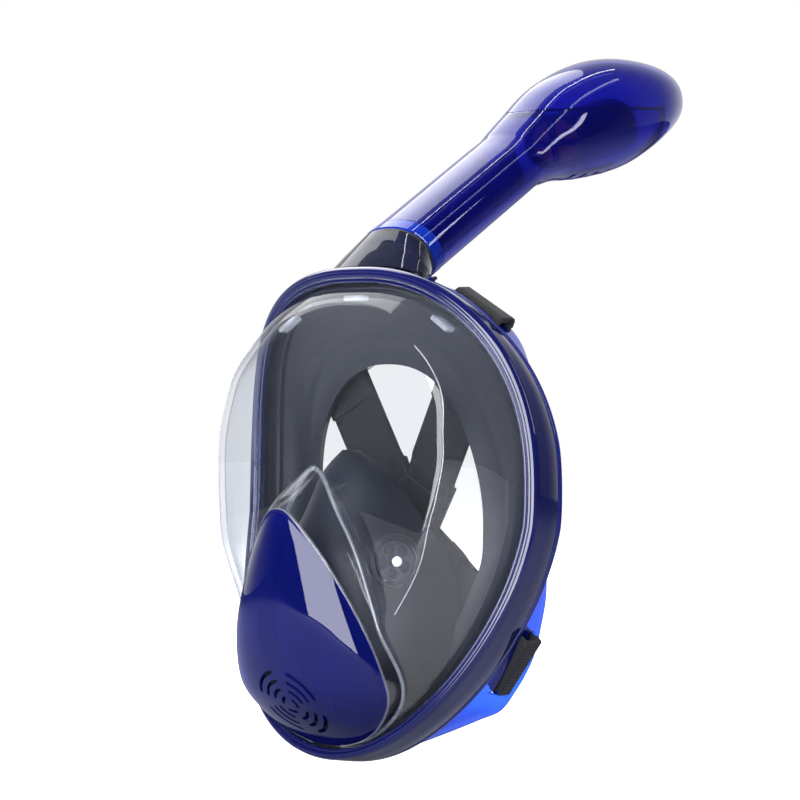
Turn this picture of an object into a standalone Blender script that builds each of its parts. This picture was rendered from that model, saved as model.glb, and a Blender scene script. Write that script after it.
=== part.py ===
"""Full-face snorkel mask with a detachable dry-top snorkel.

Lengths are in millimetres and meshes are scaled to metres when they are made. The mask frame has
-Y to the front, +Z up and +X to the wearer's left. Its origin is the top of the frame ring's
front face, and the empty "mask_frame" moves it so that the world origin is the middle of the
face opening.
"""
import math

import bmesh
import bpy
import numpy as np
from mathutils import Matrix, Vector

MM = 0.001
GAP = 0.3                       # clearance between pieces that touch
FRAME_SHIFT = (0.0, -36.0, 10.0)

# frame ring: egg-shaped outline, bent back at the sides
RING_HALF_WIDTH = 96.5
RING_TOP = 122.0
RING_BOTTOM = -113.5
RING_WIDEST = 12.0              # height of the widest point
RING_UPPER_POWER = 2.5
RING_WRAP = 25.0                # how far the sides sweep back
RING_CHIN = 13.0                # how far the chin comes forward
RING_STEPS = 44
BAND_TOP = 7.0                  # depth of the frame's outer band
BAND_SIDE = 15.0
BAND_FLARE_TOP = -2.0
BAND_FLARE_BOTTOM = 2.0
LIP_SIDE = 8.0                  # width of the ring's front face
LIP_CHIN = 5.5

# lens
LENS_WALL = 2.5
LENS_FRONT = -25.5
LENS_FLANGE = (2.3, 4.3)
LENS_EDGE = -3.6
DOME_RINGS = (14, 29, 44, 62, 80)

# nose beak: height, half-width, ridge depth and side-edge depth
BEAK = (
    (31, 2, -20, -19), (20, 8, -34, -23), (7, 15.5, -48, -23), (-11, 27.5, -51, -22.5),
    (-27, 35, -52, -20.5), (-45, 42.5, -52, -17.5), (-64, 48, -48, -14), (-80, 49, -41, -11.5),
    (-92, 40.5, -31, -11), (-101, 27, -20, -11.5), (-106, 10, -14, -12),
)
BEAK_POWER = 2.25
ARCH_APEX = (-48.5, 6.0)        # y and z of the plane where the clear roof meets the cover
ARCH_SLOPE = 0.33

# face skirt and its face opening
SKIRT_FLANGE = (4.6, 6.6)
SKIRT_WALL = 2.2
FACE_HALF_WIDTH = 56.0
FACE_TOP = 76.0
FACE_BOTTOM = -98.0
FACE_WIDEST = -6.0

# nose and mouth pocket: height, half-width, ridge depth and back-edge depth
POCKET = (
    (34, 4, -5, 2), (28, 12, -9, 5), (21, 19, -13, 10), (4, 27, -21, 20), (-17, 40, -30, 27),
    (-40, 44, -33, 31), (-62, 41, -30, 32), (-78, 31, -20, 32), (-90, 17, 0, 32),
)
POCKET_WALL = 2.0

# snorkel
TUBE_TILT = 57.0
TUBE_START = (28.1, 128.2)
TUBE_A = 22.5                   # half-width across
TUBE_B = 15.5                   # half-depth
TUBE_WALL = 2.4
TUBE_STRAIGHT = 97.0
# bulb sections: y and z of the middle, half-width and half-depth
BULB = (
    (109.5, 181, 22.5, 15.5), (127, 191, 24.5, 20), (150.6, 202, 27.5, 27), (183.6, 213.5, 29, 29.5),
    (214, 222, 25, 23), (236, 226.5, 15, 14), (245.5, 228.3, 5, 5),
)
BULB_AXIS_TILT = 73.5
SPIGOT_LENGTH = 20.0
COLLAR = (2.1, 9.5)
# socket sections: front point, rear point (y and z) and half-width
SOCKET_ROWS = (
    ((10.8, 114.4), (24, 114.4), 26), ((10.8, 120.8), (25, 115.5), 27), ((4, 122.6), (27.5, 116), 29.5),
    ((10, 130), (31, 115), 27.5), ((15.5, 136.6), (34, 114.6), 24.6), ((19.66, 141.2), (36.54, 115.2), 22.5),
)
SOCKET_BORE = (
    ((13.2, 112), (21.8, 112), 23), ((13.2, 120.8), (22.8, 118.4), 24), ((9.6, 125.4), (25.4, 118.6), 25.5),
    ((15.2, 132.6), (29.6, 118.2), 22.5),
)
TUBE_STEPS = 24

# straps
STRAP_WIDTH = 32.0
STRAP_THICK = 2.0
STRAP_CROSSING = (0.0, 41.0, -8.0)
STRAP_TRIM = 12.0               # the plain strap starts this far from its bar
SLIDER_PLACE = 32.0
PATCH_ARM = 36.0                # reach of the crossing patch along each strap
PATCH_THICK = 3.0
# strap plates: angle round the ring, distance out from its outline and reach behind its band
UPPER_LUG = ((20, -2.5, 0.3), (24.3, -3.6, 12.6), (34, -4.9, 15.1), (45, -4.9, 15.7), (56.4, -5.6, 9.6),
             (63, -3.2, 0.3))
LOWER_WING = ((100, -2, 1), (105, -3.6, 6), (112, -3.7, 14), (118.5, -2.9, 20), (126.5, 0, 25.8),
              (134.5, 4, 25.5), (139, 5.5, 25), (144, 3, 22), (155, 0.5, 10), (165, 0.5, 1))
PLATE_THICK = 2.6
UPPER_BAR = (25.5, 44.0, 3.8)   # two angles and the distance in front of the plate's rear edge
LOWER_BAR = (117.5, 137.0, 8.0)
# slots beside each bar: start and end of each, measured from the bar towards the ring
UPPER_SLOTS = ((1.8, 5.8),)
LOWER_SLOTS = ((2.4, 6.2), (-6.0, -2.4))
UPPER_LIFT = 5.0                # the strap runs this far behind its bar
LOWER_LIFT = 4.5

COLOURS = {
    "navy": ((0.012, 0.016, 0.12, 1), 0.12, 1.0),
    "blue": ((0.02, 0.06, 0.75, 1), 0.15, 1.0),
    "clear": ((0.85, 0.9, 0.95, 1), 0.05, 0.25),
    "smoke": ((0.03, 0.035, 0.07, 1), 0.15, 1.0),
    "silicone": ((0.045, 0.05, 0.06, 1), 0.5, 1.0),
    "white": ((0.8, 0.82, 0.85, 1), 0.45, 1.0),
    "webbing": ((0.012, 0.012, 0.014, 1), 0.85, 1.0),
    "black": ((0.015, 0.015, 0.017, 1), 0.4, 1.0),
    "foam": ((0.9, 0.35, 0.05, 1), 0.7, 1.0),
}


# ---- scene helpers -----------------------------------------------------------------------------

def clear_scene():
    for obj in list(bpy.data.objects):
        bpy.data.objects.remove(obj, do_unlink=True)


def material(name):
    found = bpy.data.materials.get(name)
    if found:
        return found
    colour, roughness, alpha = COLOURS[name]
    made = bpy.data.materials.new(name)
    made.use_nodes = True
    shader = made.node_tree.nodes["Principled BSDF"]
    shader.inputs["Base Color"].default_value = colour
    shader.inputs["Roughness"].default_value = roughness
    shader.inputs["Metallic"].default_value = 0.0
    shader.inputs["Alpha"].default_value = alpha
    return made


def empty(name, parent=None, location=(0, 0, 0), rotation=None):
    obj = bpy.data.objects.new(name, None)
    bpy.context.scene.collection.objects.link(obj)
    place = Matrix.Translation(Vector(location) * MM)
    obj.matrix_basis = place @ rotation.to_4x4() if rotation else place
    obj.parent = parent
    return obj


def add_mesh(name, verts, faces, slot, parent):
    """Make an object from points in millimetres, with its faces turned outwards."""
    mesh = bpy.data.meshes.new(name)
    mesh.from_pydata([tuple(float(c) * MM for c in v) for v in verts], [], faces)
    work = bmesh.new()
    work.from_mesh(mesh)
    bmesh.ops.triangulate(work, faces=work.faces)
    bmesh.ops.recalc_face_normals(work, faces=work.faces)
    if work.calc_volume(signed=True) < 0:
        bmesh.ops.reverse_faces(work, faces=work.faces)
    work.to_mesh(mesh)
    work.free()
    mesh.materials.append(material(slot))
    mesh.shade_smooth()
    mesh.set_sharp_from_angle(angle=math.radians(32))
    obj = bpy.data.objects.new(name, mesh)
    bpy.context.scene.collection.objects.link(obj)
    obj.parent = parent
    return obj


def hide(obj):
    """Mark an object as a cutter, which the build leaves out."""
    obj.hide_render = True
    obj.display_type = "WIRE"
    return obj


def boolean(obj, other, operation="DIFFERENCE"):
    step = obj.modifiers.new(other.name, "BOOLEAN")
    step.operation = operation
    step.object = other
    step.solver = "EXACT"
    return obj


def weld(obj):
    """Close the hairline slivers that a stack of Booleans can leave."""
    step = obj.modifiers.new("weld", "WELD")
    step.merge_threshold = 0.02 * MM
    return obj


# ---- mesh builders -----------------------------------------------------------------------------

def grid_faces(rows, columns, start=0):
    """Quads between rows of points, each row closed on itself."""
    faces = []
    for i in range(rows - 1):
        for j in range(columns):
            k = (j + 1) % columns
            a, b = start + i * columns, start + (i + 1) * columns
            faces.append((a + j, a + k, b + k, b + j))
    return faces


def loop_sweep(name, sections, slot, parent):
    """A closed profile carried round a closed path."""
    sections = np.asarray(sections, float)
    rows, columns = sections.shape[:2]
    faces = grid_faces(rows, columns)
    last = (rows - 1) * columns
    for j in range(columns):
        k = (j + 1) % columns
        faces.append((last + j, last + k, k, j))
    return add_mesh(name, sections.reshape(-1, 3), faces, slot, parent)


def loft(name, sections, slot, parent):
    """Closed sections joined in a row, with a fan over each end."""
    sections = np.asarray(sections, float)
    rows, columns = sections.shape[:2]
    verts = list(sections.reshape(-1, 3))
    faces = grid_faces(rows, columns)
    for row in (0, rows - 1):
        centre = len(verts)
        verts.append(sections[row].mean(axis=0))
        first = row * columns
        faces += [(first + j, first + (j + 1) % columns, centre) for j in range(columns)]
    return add_mesh(name, verts, faces, slot, parent)


def thick_sheet(name, front, back, slot, parent):
    """Two matching grids of points joined round their edges."""
    front, back = np.asarray(front, float), np.asarray(back, float)
    rows, columns = front.shape[:2]
    verts = list(front.reshape(-1, 3)) + list(back.reshape(-1, 3))
    shift = rows * columns
    faces = []
    for i in range(rows - 1):
        for j in range(columns - 1):
            a = i * columns + j
            quad = (a, a + 1, a + columns + 1, a + columns)
            faces.append(quad)
            faces.append(tuple(shift + q for q in reversed(quad)))
    rim = [j for j in range(columns)]
    rim += [i * columns + columns - 1 for i in range(1, rows)]
    rim += [(rows - 1) * columns + j for j in range(columns - 2, -1, -1)]
    rim += [i * columns for i in range(rows - 2, 0, -1)]
    for a, b in zip(rim, rim[1:] + rim[:1]):
        faces.append((a, b, shift + b, shift + a))
    return add_mesh(name, verts, faces, slot, parent)


def turned(name, profile, steps, slot, parent):
    """A profile of (radius, height) turned about Z. It starts and ends on the axis."""
    verts, faces, rows = [], [], []
    for radius, height in profile:
        if radius == 0:
            rows.append([len(verts)])
            verts.append((0, 0, height))
            continue
        rows.append(list(range(len(verts), len(verts) + steps)))
        for k in range(steps):
            angle = 2 * math.pi * k / steps
            verts.append((radius * math.cos(angle), radius * math.sin(angle), height))
    for low, high in zip(rows, rows[1:]):
        for k in range(steps):
            n = (k + 1) % steps
            if len(low) == 1:
                faces.append((low[0], high[n], high[k]))
            elif len(high) == 1:
                faces.append((low[k], low[n], high[0]))
            else:
                faces.append((low[k], low[n], high[n], high[k]))
    return add_mesh(name, verts, faces, slot, parent)


def arc_slots(name, rings, depth, parent, steps=2):
    """Cutter made of curved slots. Each ring is (inner, outer, count, filled share, first angle)."""
    verts, faces = [], []
    for inner, outer, count, share, first in rings:
        for n in range(count):
            start = math.radians(first) + 2 * math.pi * n / count
            span = 2 * math.pi * share / count
            base = len(verts)
            for i in range(steps + 1):
                angle = start + span * i / steps
                for radius, height in ((inner, -depth), (outer, -depth), (outer, depth), (inner, depth)):
                    verts.append((radius * math.cos(angle), radius * math.sin(angle), height))
            faces.append((base, base + 1, base + 2, base + 3))
            end = base + 4 * steps
            faces.append((end + 3, end + 2, end + 1, end))
            for i in range(steps):
                a = base + 4 * i
                for c in range(4):
                    d = (c + 1) % 4
                    faces.append((a + c, a + 4 + c, a + 4 + d, a + d))
    return hide(add_mesh(name, verts, faces, "black", parent))


def prism(name, outline, half, slot, parent):
    """Outline of (y, z) points extruded across, from -half to +half in X."""
    count = len(outline)
    verts = [(x, y, z) for x in (-half, half) for y, z in outline]
    faces = [tuple(range(count)), tuple(range(2 * count - 1, count - 1, -1))]
    faces += [(j, (j + 1) % count, count + (j + 1) % count, count + j) for j in range(count)]
    return add_mesh(name, verts, faces, slot, parent)


def box(name, low, high, slot, parent):
    corners = [(x, y, z) for z in (low[2], high[2]) for y in (low[1], high[1]) for x in (low[0], high[0])]
    faces = [(0, 2, 3, 1), (4, 5, 7, 6), (0, 1, 5, 4), (2, 6, 7, 3), (0, 4, 6, 2), (1, 3, 7, 5)]
    return add_mesh(name, corners, faces, slot, parent)


# ---- shape formulas ----------------------------------------------------------------------------

def ring_point(theta):
    """Point on the ring's outline and the unit direction out from its centre."""
    s, c = math.sin(theta), math.cos(theta)
    power = RING_UPPER_POWER if c > 0 else 2.0
    height = RING_TOP - RING_WIDEST if c > 0 else RING_WIDEST - RING_BOTTOM
    x = RING_HALF_WIDTH * math.copysign(abs(s) ** (2 / power), s)
    z = height * math.copysign(abs(c) ** (2 / power), c)
    size = math.hypot(x, z)
    return x, z + RING_WIDEST, x / size, z / size


def ring_depth(x, z):
    side = RING_WRAP * abs(x / RING_HALF_WIDTH) ** 3
    return side - RING_CHIN * min(max(z / RING_BOTTOM, 0.0), 1.0)


def on_ring(theta, out, back):
    """Ring point moved outwards and backwards."""
    x, z, out_x, out_z = ring_point(theta)
    return (x + out * out_x, ring_depth(x, z) + back, z + out * out_z)


def lip_width(theta):
    return LIP_SIDE - (LIP_SIDE - LIP_CHIN) * max(-math.cos(theta), 0.0) ** 2


def band_depth(theta):
    ramp = min((1 - math.cos(theta)) / (1 - math.cos(math.radians(80))), 1.0)
    return BAND_TOP + (BAND_SIDE - BAND_TOP) * ramp


def band_flare(theta):
    return BAND_FLARE_TOP + (BAND_FLARE_BOTTOM - BAND_FLARE_TOP) * (1 - math.cos(theta)) / 2


def ring_angles():
    return [2 * math.pi * k / RING_STEPS for k in range(RING_STEPS)]


def dome_power(theta):
    return 2.1 + 1.2 * math.sin(theta) ** 4


def dome_ring(phi, wall):
    """One ring of the lens dome, from 0 at the rim to 90 degrees at the middle."""
    points = []
    for theta in ring_angles():
        x, base, z = on_ring(theta, -lip_width(theta) - wall, LENS_FLANGE[0])
        power = dome_power(theta)
        size = math.cos(phi) ** (2 / power)
        rise = math.sin(phi) ** (2 / power)
        front = LENS_FRONT + wall
        points.append((x * size, base + (front - base) * rise, RING_WIDEST + (z - RING_WIDEST) * size))
    return points


def smooth_stations(stations, spacing):
    """Cubic spline through rows of numbers, read at an even spacing of the first number."""
    rows = np.array(stations, float)
    steps = np.concatenate([[0], np.cumsum(np.linalg.norm(np.diff(rows, axis=0), axis=1) ** 0.5)])
    count = int(steps[-1] / spacing) + 1
    found = []
    slopes = np.gradient(rows, steps, axis=0)
    for t in np.linspace(0, steps[-1], count):
        i = min(int(np.searchsorted(steps, t, side="right")) - 1, len(rows) - 2)
        h = steps[i + 1] - steps[i]
        u = (t - steps[i]) / h
        found.append((2 * u**3 - 3 * u**2 + 1) * rows[i] + (u**3 - 2 * u**2 + u) * h * slopes[i]
                     + (3 * u**2 - 2 * u**3) * rows[i + 1] + (u**3 - u**2) * h * slopes[i + 1])
    return np.array(found)


def arc_points(half_width, ridge, edge, power, count):
    """Super-ellipse arc across the symmetry plane, from -X to +X."""
    points = []
    for k in range(count):
        angle = math.pi * (k / (count - 1) - 0.5)
        s, c = math.sin(angle), max(math.cos(angle), 0.0)
        x = half_width * math.copysign(abs(s) ** (2 / power), s)
        points.append((x, edge + (ridge - edge) * c ** (2 / power)))
    return points


def beak_solid(name, wall, back, parent):
    """The beak as a closed solid, its surface moved in by the wall."""
    sections = []
    for z, half, ridge, edge in smooth_stations(BEAK, 3.0):
        shift = np.interp(z, (-106, -80, 0, 29), (1.0, 0.0, -0.4, -1.2)) * wall
        arc = arc_points(max(half - wall, 0.6), ridge + wall, edge + wall, BEAK_POWER, 14)
        flat = [(arc[-1][0], edge + wall + back), (arc[0][0], edge + wall + back)]
        sections.append([(x, y, z + shift) for x, y in arc + flat])
    return loft(name, sections, "clear", parent)


def cover_zone(name, offset, parent):
    """Half-space in front of the arch plane."""
    y0, z0 = ARCH_APEX
    top, bottom, reach = 60.0, -125.0, 70.0
    plane = [(y0 + offset + ARCH_SLOPE * (z0 - z), z) for z in (top, bottom)]
    sections = []
    for x in (-80.0, 80.0):
        (ya, za), (yb, zb) = plane
        sections.append([(x, ya, za), (x, yb, zb), (x, yb - reach - 40, zb), (x, ya - reach, za)])
    return hide(loft(name, sections, "clear", parent))


# ---- mask frame, lens and cover ----------------------------------------------------------------

def front_frame(parent):
    sections = []
    for theta in ring_angles():
        lip, deep, flare = lip_width(theta), band_depth(theta), band_flare(theta)
        profile = [
            (-lip + 0.4, -1.2), (-lip * 0.62, -3.0), (-lip * 0.28, -2.6), (0, 0), (flare, deep),
            (flare - 2.2, deep), (-2.4, 2.0), (-lip + 0.4, 2.0),
        ]
        sections.append([on_ring(theta, out, back) for out, back in profile])
    return loop_sweep("front_frame", sections, "navy", parent)


def rear_ring(parent):
    sections = []
    for theta in ring_angles():
        deep, flare = band_depth(theta), band_flare(theta)
        web = min(-2.8, flare - 2.5)
        front = SKIRT_FLANGE[1] + GAP
        flange = max(front, deep + GAP)
        inner = 0.6 - lip_width(theta)
        profile = [(inner, front), (web, front), (web, flange), (flare, flange), (flare, flange + 2.5),
                   (inner, flange + 2.5)]
        sections.append([on_ring(theta, out, back) for out, back in profile])
    return loop_sweep("rear_frame", sections, "blue", parent)


def plate_edge(stations, theta, inset=0.0):
    """Point on a strap plate, a distance in front of its rear edge."""
    angles, outs, reaches = zip(*stations)
    degrees = math.degrees(theta)
    reach = np.interp(degrees, angles, reaches)
    out = np.interp(degrees, angles, outs)
    share = inset / max(reach, 1.0)
    out += (band_flare(theta) - out) * share
    return np.array(on_ring(theta, out, band_depth(theta) + reach - inset))


def strap_plate(name, side, stations, parent):
    """Plate that runs back from the rear ring to its own rear edge."""
    outer, inner = [], []
    for degrees in np.linspace(stations[0][0], stations[-1][0], 13):
        theta = math.radians(degrees)
        deep, flare = band_depth(theta), band_flare(theta)
        root = np.array(on_ring(theta, flare - 0.2, max(SKIRT_FLANGE[1] + GAP, deep + GAP) + 0.7))
        edge = plate_edge(stations, theta)
        edge[1] = max(edge[1], root[1] + 1.0)
        _, _, out_x, out_z = ring_point(theta)
        inward = -PLATE_THICK * np.array([out_x, 0, out_z])
        outer.append([root, edge])
        inner.append([root + inward, edge + inward])
    flip = np.array([side, 1, 1])
    return hide(thick_sheet(name, np.array(outer) * flip, np.array(inner) * flip, "blue", parent))


def bar_ends(stations, bar, side):
    """The two ends of the bar that a strap wraps round."""
    first, last, inset = bar
    ends = [plate_edge(stations, math.radians(angle), inset) for angle in (first, last)]
    return [end * (side, 1, 1) for end in ends]


def slot_box(name, side, stations, bar, across, parent):
    """Cutter for a strap slot beside a bar. Across is the reach from the bar towards the ring."""
    a, b = bar_ends(stations, bar, side)
    middle = (a + b) / 2
    along = Vector(b - a).normalized()
    outward = Vector((middle[0], 0, middle[2] - RING_WIDEST))
    outward = (outward - along * outward.dot(along)).normalized()
    forward = along.cross(outward)
    if forward.y > 0:
        forward = -forward
    turn = Matrix((forward, along.cross(forward), along)).transposed()
    frame = empty(name + "_frame", parent, middle, turn)
    half = STRAP_WIDTH / 2 + 1.0
    low, high = across
    return hide(box(name, (low, -9, -half), (high, 9, half), "blue", frame))


def rear_frame(parent):
    ring = rear_ring(parent)
    for side, tag in ((1, "left"), (-1, "right")):
        boolean(ring, strap_plate("upper_lug_" + tag, side, UPPER_LUG, parent), "UNION")
        boolean(ring, strap_plate("lower_wing_" + tag, side, LOWER_WING, parent), "UNION")
        for across in UPPER_SLOTS:
            boolean(ring, slot_box("upper_slot_" + tag, side, UPPER_LUG, UPPER_BAR, across, parent))
        for across in LOWER_SLOTS:
            boolean(ring, slot_box("lower_slot_" + tag, side, LOWER_WING, LOWER_BAR, across, parent))
    return ring


def lens(parent):
    front, rear = LENS_FLANGE
    outer = [[on_ring(t, -lip_width(t) - LENS_WALL - 2, rear) for t in ring_angles()]]
    outer += [[on_ring(t, LENS_EDGE, back) for t in ring_angles()] for back in (rear, front)]
    outer += [dome_ring(math.radians(phi), 0) for phi in (0,) + DOME_RINGS]
    inner = [[on_ring(t, -lip_width(t) - LENS_WALL, 12) for t in ring_angles()]]
    inner += [dome_ring(math.radians(phi), LENS_WALL) for phi in (0,) + DOME_RINGS]
    made = loft("lens", outer, "clear", parent)
    boolean(made, hide(beak_solid("beak_outside", 0, 1.5, parent)), "UNION")
    boolean(made, hide(loft("dome_inside", inner, "clear", parent)))
    boolean(made, hide(beak_solid("beak_inside", LENS_WALL, 3.5, parent)))
    return weld(boolean(made, cover_zone("cover_zone_lens", 0.0, parent)))


def nose_cover(parent, valve):
    made = beak_solid("nose_cover", 0, 1.5, parent)
    boolean(made, hide(beak_solid("cover_inside", LENS_WALL, 6.0, parent)))
    boolean(made, cover_zone("cover_zone", -GAP, parent), "INTERSECT")
    rings = ((14.2, 16.6, 4, 0.72, 10), (9.2, 11.6, 4, 0.7, 10), (4.2, 6.6, 3, 0.66, 10))
    boolean(made, arc_slots("grille_slots", rings, 7, valve))
    made.data.materials.clear()
    made.data.materials.append(material("navy"))
    return weld(made)


# ---- skirt and pocket --------------------------------------------------------------------------

def face_point(theta):
    """Edge of the face opening."""
    s, c = math.sin(theta), math.cos(theta)
    height = FACE_TOP - FACE_WIDEST if c > 0 else FACE_WIDEST - FACE_BOTTOM
    x = FACE_HALF_WIDTH * math.copysign(abs(s) ** 0.85, s)
    z = FACE_WIDEST + height * math.copysign(abs(c) ** 0.85, c)
    low = min(max((50 - z) / 50, 0), 1)
    y = 25 + 5 * (x / FACE_HALF_WIDTH) ** 2 + 4 * low * low * (3 - 2 * low)
    return np.array((x, y, z))


def bezier(a, b, c, t):
    return a * (1 - t) ** 2 + b * 2 * t * (1 - t) + c * t * t


def face_skirt(parent):
    sections = []
    steps = np.linspace(0, 1, 5)
    for theta in ring_angles():
        inset = -lip_width(theta) - 1.6
        root = np.array(on_ring(theta, inset, SKIRT_FLANGE[0]))
        knee = np.array(on_ring(theta, inset - 5, band_depth(theta) + 6))
        edge = face_point(theta)
        _, _, out_x, out_z = ring_point(theta)
        shift = np.array((out_x, 0.8, out_z)) * SKIRT_WALL / 1.28
        front = [bezier(root, knee, edge, t) for t in steps]
        back_root = np.array(on_ring(theta, inset + 1.6, SKIRT_FLANGE[1]))
        back = [bezier(back_root, knee + shift, edge + (0, SKIRT_WALL, 0), t) for t in steps[::-1]]
        flange = [np.array(on_ring(theta, LENS_EDGE - 0.6, y)) for y in reversed(SKIRT_FLANGE)]
        sections.append(front + back + flange)
    return loop_sweep("face_skirt", sections, "silicone", parent)


def pocket_rows(wall):
    rows = []
    for z, half, ridge, edge in smooth_stations(POCKET, 2.9):
        arc = arc_points(half - wall, ridge + wall, edge, 2.2, 15)
        rows.append([(x, y, z) for x, y in arc])
    return rows


def orinasal_pocket(parent, side_valves, chin_valve):
    made = thick_sheet("orinasal_pocket", pocket_rows(0), pocket_rows(POCKET_WALL), "silicone", parent)
    for tag, frame in side_valves.items():
        hole = turned("pocket_hole_" + tag, ((0, -9), (10.4, -9), (10.4, 9), (0, 9)), 20, "black", frame)
        boolean(made, hide(hole))
    hole = turned("pocket_hole_chin", ((0, -26), (11, -26), (11, 5), (0, 5)), 20, "black", chin_valve)
    return weld(boolean(made, hide(hole)))


# ---- valves ------------------------------------------------------------------------------------

def axis_rotation(direction):
    return Vector(direction).normalized().to_track_quat("Z", "X").to_matrix()


def valve_seat(name, radius, height, slots, frame, slot):
    """Round seat with a ring of slots and a hole for the flap's stem. Its face is at height 0."""
    made = turned(name, ((0, -height), (radius, -height), (radius, 0), (0, 0)), 16, slot, frame)
    boolean(made, arc_slots(name + "_slots", slots, height + 3, frame))
    outline = ((0, -height - 3), (1.6, -height - 3), (1.6, 3), (0, 3))
    hole = turned(name + "_hole", outline, 8, "black", frame)
    return boolean(made, hide(hole))


def valve_flap(name, radius, seat, travel, side, frame):
    """Disc on one side of the seat, held by a stem with a knob on the other side.

    Side 1 puts the disc in front of the seat's face and side -1 behind its back.
    """
    base = 0.2
    profile = [(0, base + 0.9), (radius, base + 0.5), (radius, base), (1.2, base),
               (1.2, -seat - travel - 0.3), (2.4, -seat - travel - 0.5), (2.4, -seat - travel - 2.0),
               (1.4, -seat - travel - 2.8), (0, -seat - travel - 2.8)]
    if side < 0:
        profile = [(r, -seat - h) for r, h in profile]
    return turned(name, profile, 14, "white", frame)


# ---- snorkel -----------------------------------------------------------------------------------

def oval(a, b, height, centre=0.0, power=2.3, steps=TUBE_STEPS):
    """Flat-oval section at a height along Z."""
    points = []
    for k in range(steps):
        angle = 2 * math.pi * k / steps
        s, c = math.sin(angle), math.cos(angle)
        x = a * math.copysign(abs(c) ** (2 / power), c)
        y = b * math.copysign(abs(s) ** (2 / power), s)
        points.append((x, centre + y, height))
    return points


def tilted_oval(y, z, a, b, tilt, power=2.3, steps=TUBE_STEPS):
    """Flat-oval section in mask coordinates, its normal tilted back from +Z."""
    t = math.radians(tilt)
    return [(px, y + py * math.cos(t), z - py * math.sin(t)) for px, py, _ in oval(a, b, 0, 0, power, steps)]


def tube_rows(wall, start, end_cut):
    """Sections of the tube and bulb. The wall moves the surface in."""
    t = math.radians(TUBE_TILT)
    y0, z0 = TUBE_START
    rows = []
    for s in (start, TUBE_STRAIGHT * 0.5, TUBE_STRAIGHT * 0.9):
        rows.append(tilted_oval(y0 + s * math.sin(t), z0 + s * math.cos(t), TUBE_A - wall, TUBE_B - wall,
                                TUBE_TILT))
    stations = smooth_stations(BULB, 2.4)
    for i, (y, z, a, b) in enumerate(stations):
        low, high = stations[max(i - 1, 0)], stations[min(i + 1, len(stations) - 1)]
        tilt = math.degrees(math.atan2(high[0] - low[0], high[1] - low[1]))
        if a - wall < end_cut or b - wall < end_cut:
            break
        rows.append(tilted_oval(y, z, a - wall, b - wall, tilt, 2.2))
    return rows


CAP_LINE = ((90, 205.4), (204, 217), (209, 196), (290, 190), (290, 290), (90, 290))


def cap_zone(name, offset, parent):
    """Region of the bulb that the top cap takes, as a prism across the snorkel."""
    outline = [(y + offset, z + offset) for y, z in CAP_LINE]
    return hide(prism(name, outline, 60.0, "blue", parent))


def snorkel_tube(parent):
    made = loft("snorkel_tube", tube_rows(0, COLLAR[1] + GAP, 3), "blue", parent)
    boolean(made, hide(loft("tube_bore", tube_rows(TUBE_WALL, -5, 4), "blue", parent)))
    boolean(made, cap_zone("cap_zone_tube", 0.0, parent))
    for k in range(4):
        y = 150 + 9 * k
        frame = empty("vent_frame_%d" % k, parent, (0, y, 190), Matrix.Rotation(math.radians(-16), 3, "X"))
        boolean(made, hide(box("vent_%d" % k, (-14, -1.6, -30), (14, 1.6, 0), "blue", frame)))
    return weld(made)


def snorkel_cap(parent):
    made = loft("snorkel_top_cap", tube_rows(0, 20, 3), "blue", parent)
    boolean(made, hide(loft("cap_hollow", tube_rows(TUBE_WALL, 10, 4), "blue", parent)))
    return weld(boolean(made, cap_zone("cap_zone", GAP * 1.2, parent), "INTERSECT"))


def ring_of_ovals(name, outer, inner, low, high, slot, parent, centre=0.0):
    """Oval ring with its bore along Z. Outer and inner are half-widths and half-depths."""
    sections = []
    for k in range(TUBE_STEPS):
        rows = []
        for (a, b), height in ((outer, low), (outer, high), (inner, high), (inner, low)):
            rows.append(oval(a, b, height, centre)[k])
        sections.append(rows)
    return loop_sweep(name, sections, slot, parent)


def oval_between(front, rear, half_width):
    """Flat-oval section between a front and a rear point, each given as (y, z)."""
    (ya, za), (yb, zb) = front, rear
    tilt = math.degrees(math.atan2(za - zb, yb - ya))
    depth = math.hypot(yb - ya, zb - za) / 2
    return tilted_oval((ya + yb) / 2, (za + zb) / 2, half_width, depth, tilt)


def snorkel_socket(parent, joint):
    y0, z0 = TUBE_START
    rows = [oval_between(*row) for row in SOCKET_ROWS]
    t = math.radians(TUBE_TILT)
    a, b = TUBE_A - TUBE_WALL - 0.4, TUBE_B - TUBE_WALL - 0.4
    spigot = [tilted_oval(y0 + s * math.sin(t), z0 + s * math.cos(t), a, b, TUBE_TILT)
              for s in (0.01, SPIGOT_LENGTH)]
    made = loft("snorkel_socket", rows + spigot, "smoke", parent)
    bore = [oval_between(*row) for row in SOCKET_BORE]
    bore += [tilted_oval(y0 + s * math.sin(t), z0 + s * math.cos(t), a - 2.2, b - 2.2, TUBE_TILT)
             for s in (0.0, SPIGOT_LENGTH + 4)]
    boolean(made, hide(loft("socket_bore", bore, "smoke", parent)))
    catch = hide(box("latch_catch", (-5.5, TUBE_B - 6, -7.0), (5.5, TUBE_B + 0.8, -4.4), "smoke", joint))
    return weld(boolean(made, catch, "UNION"))


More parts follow.
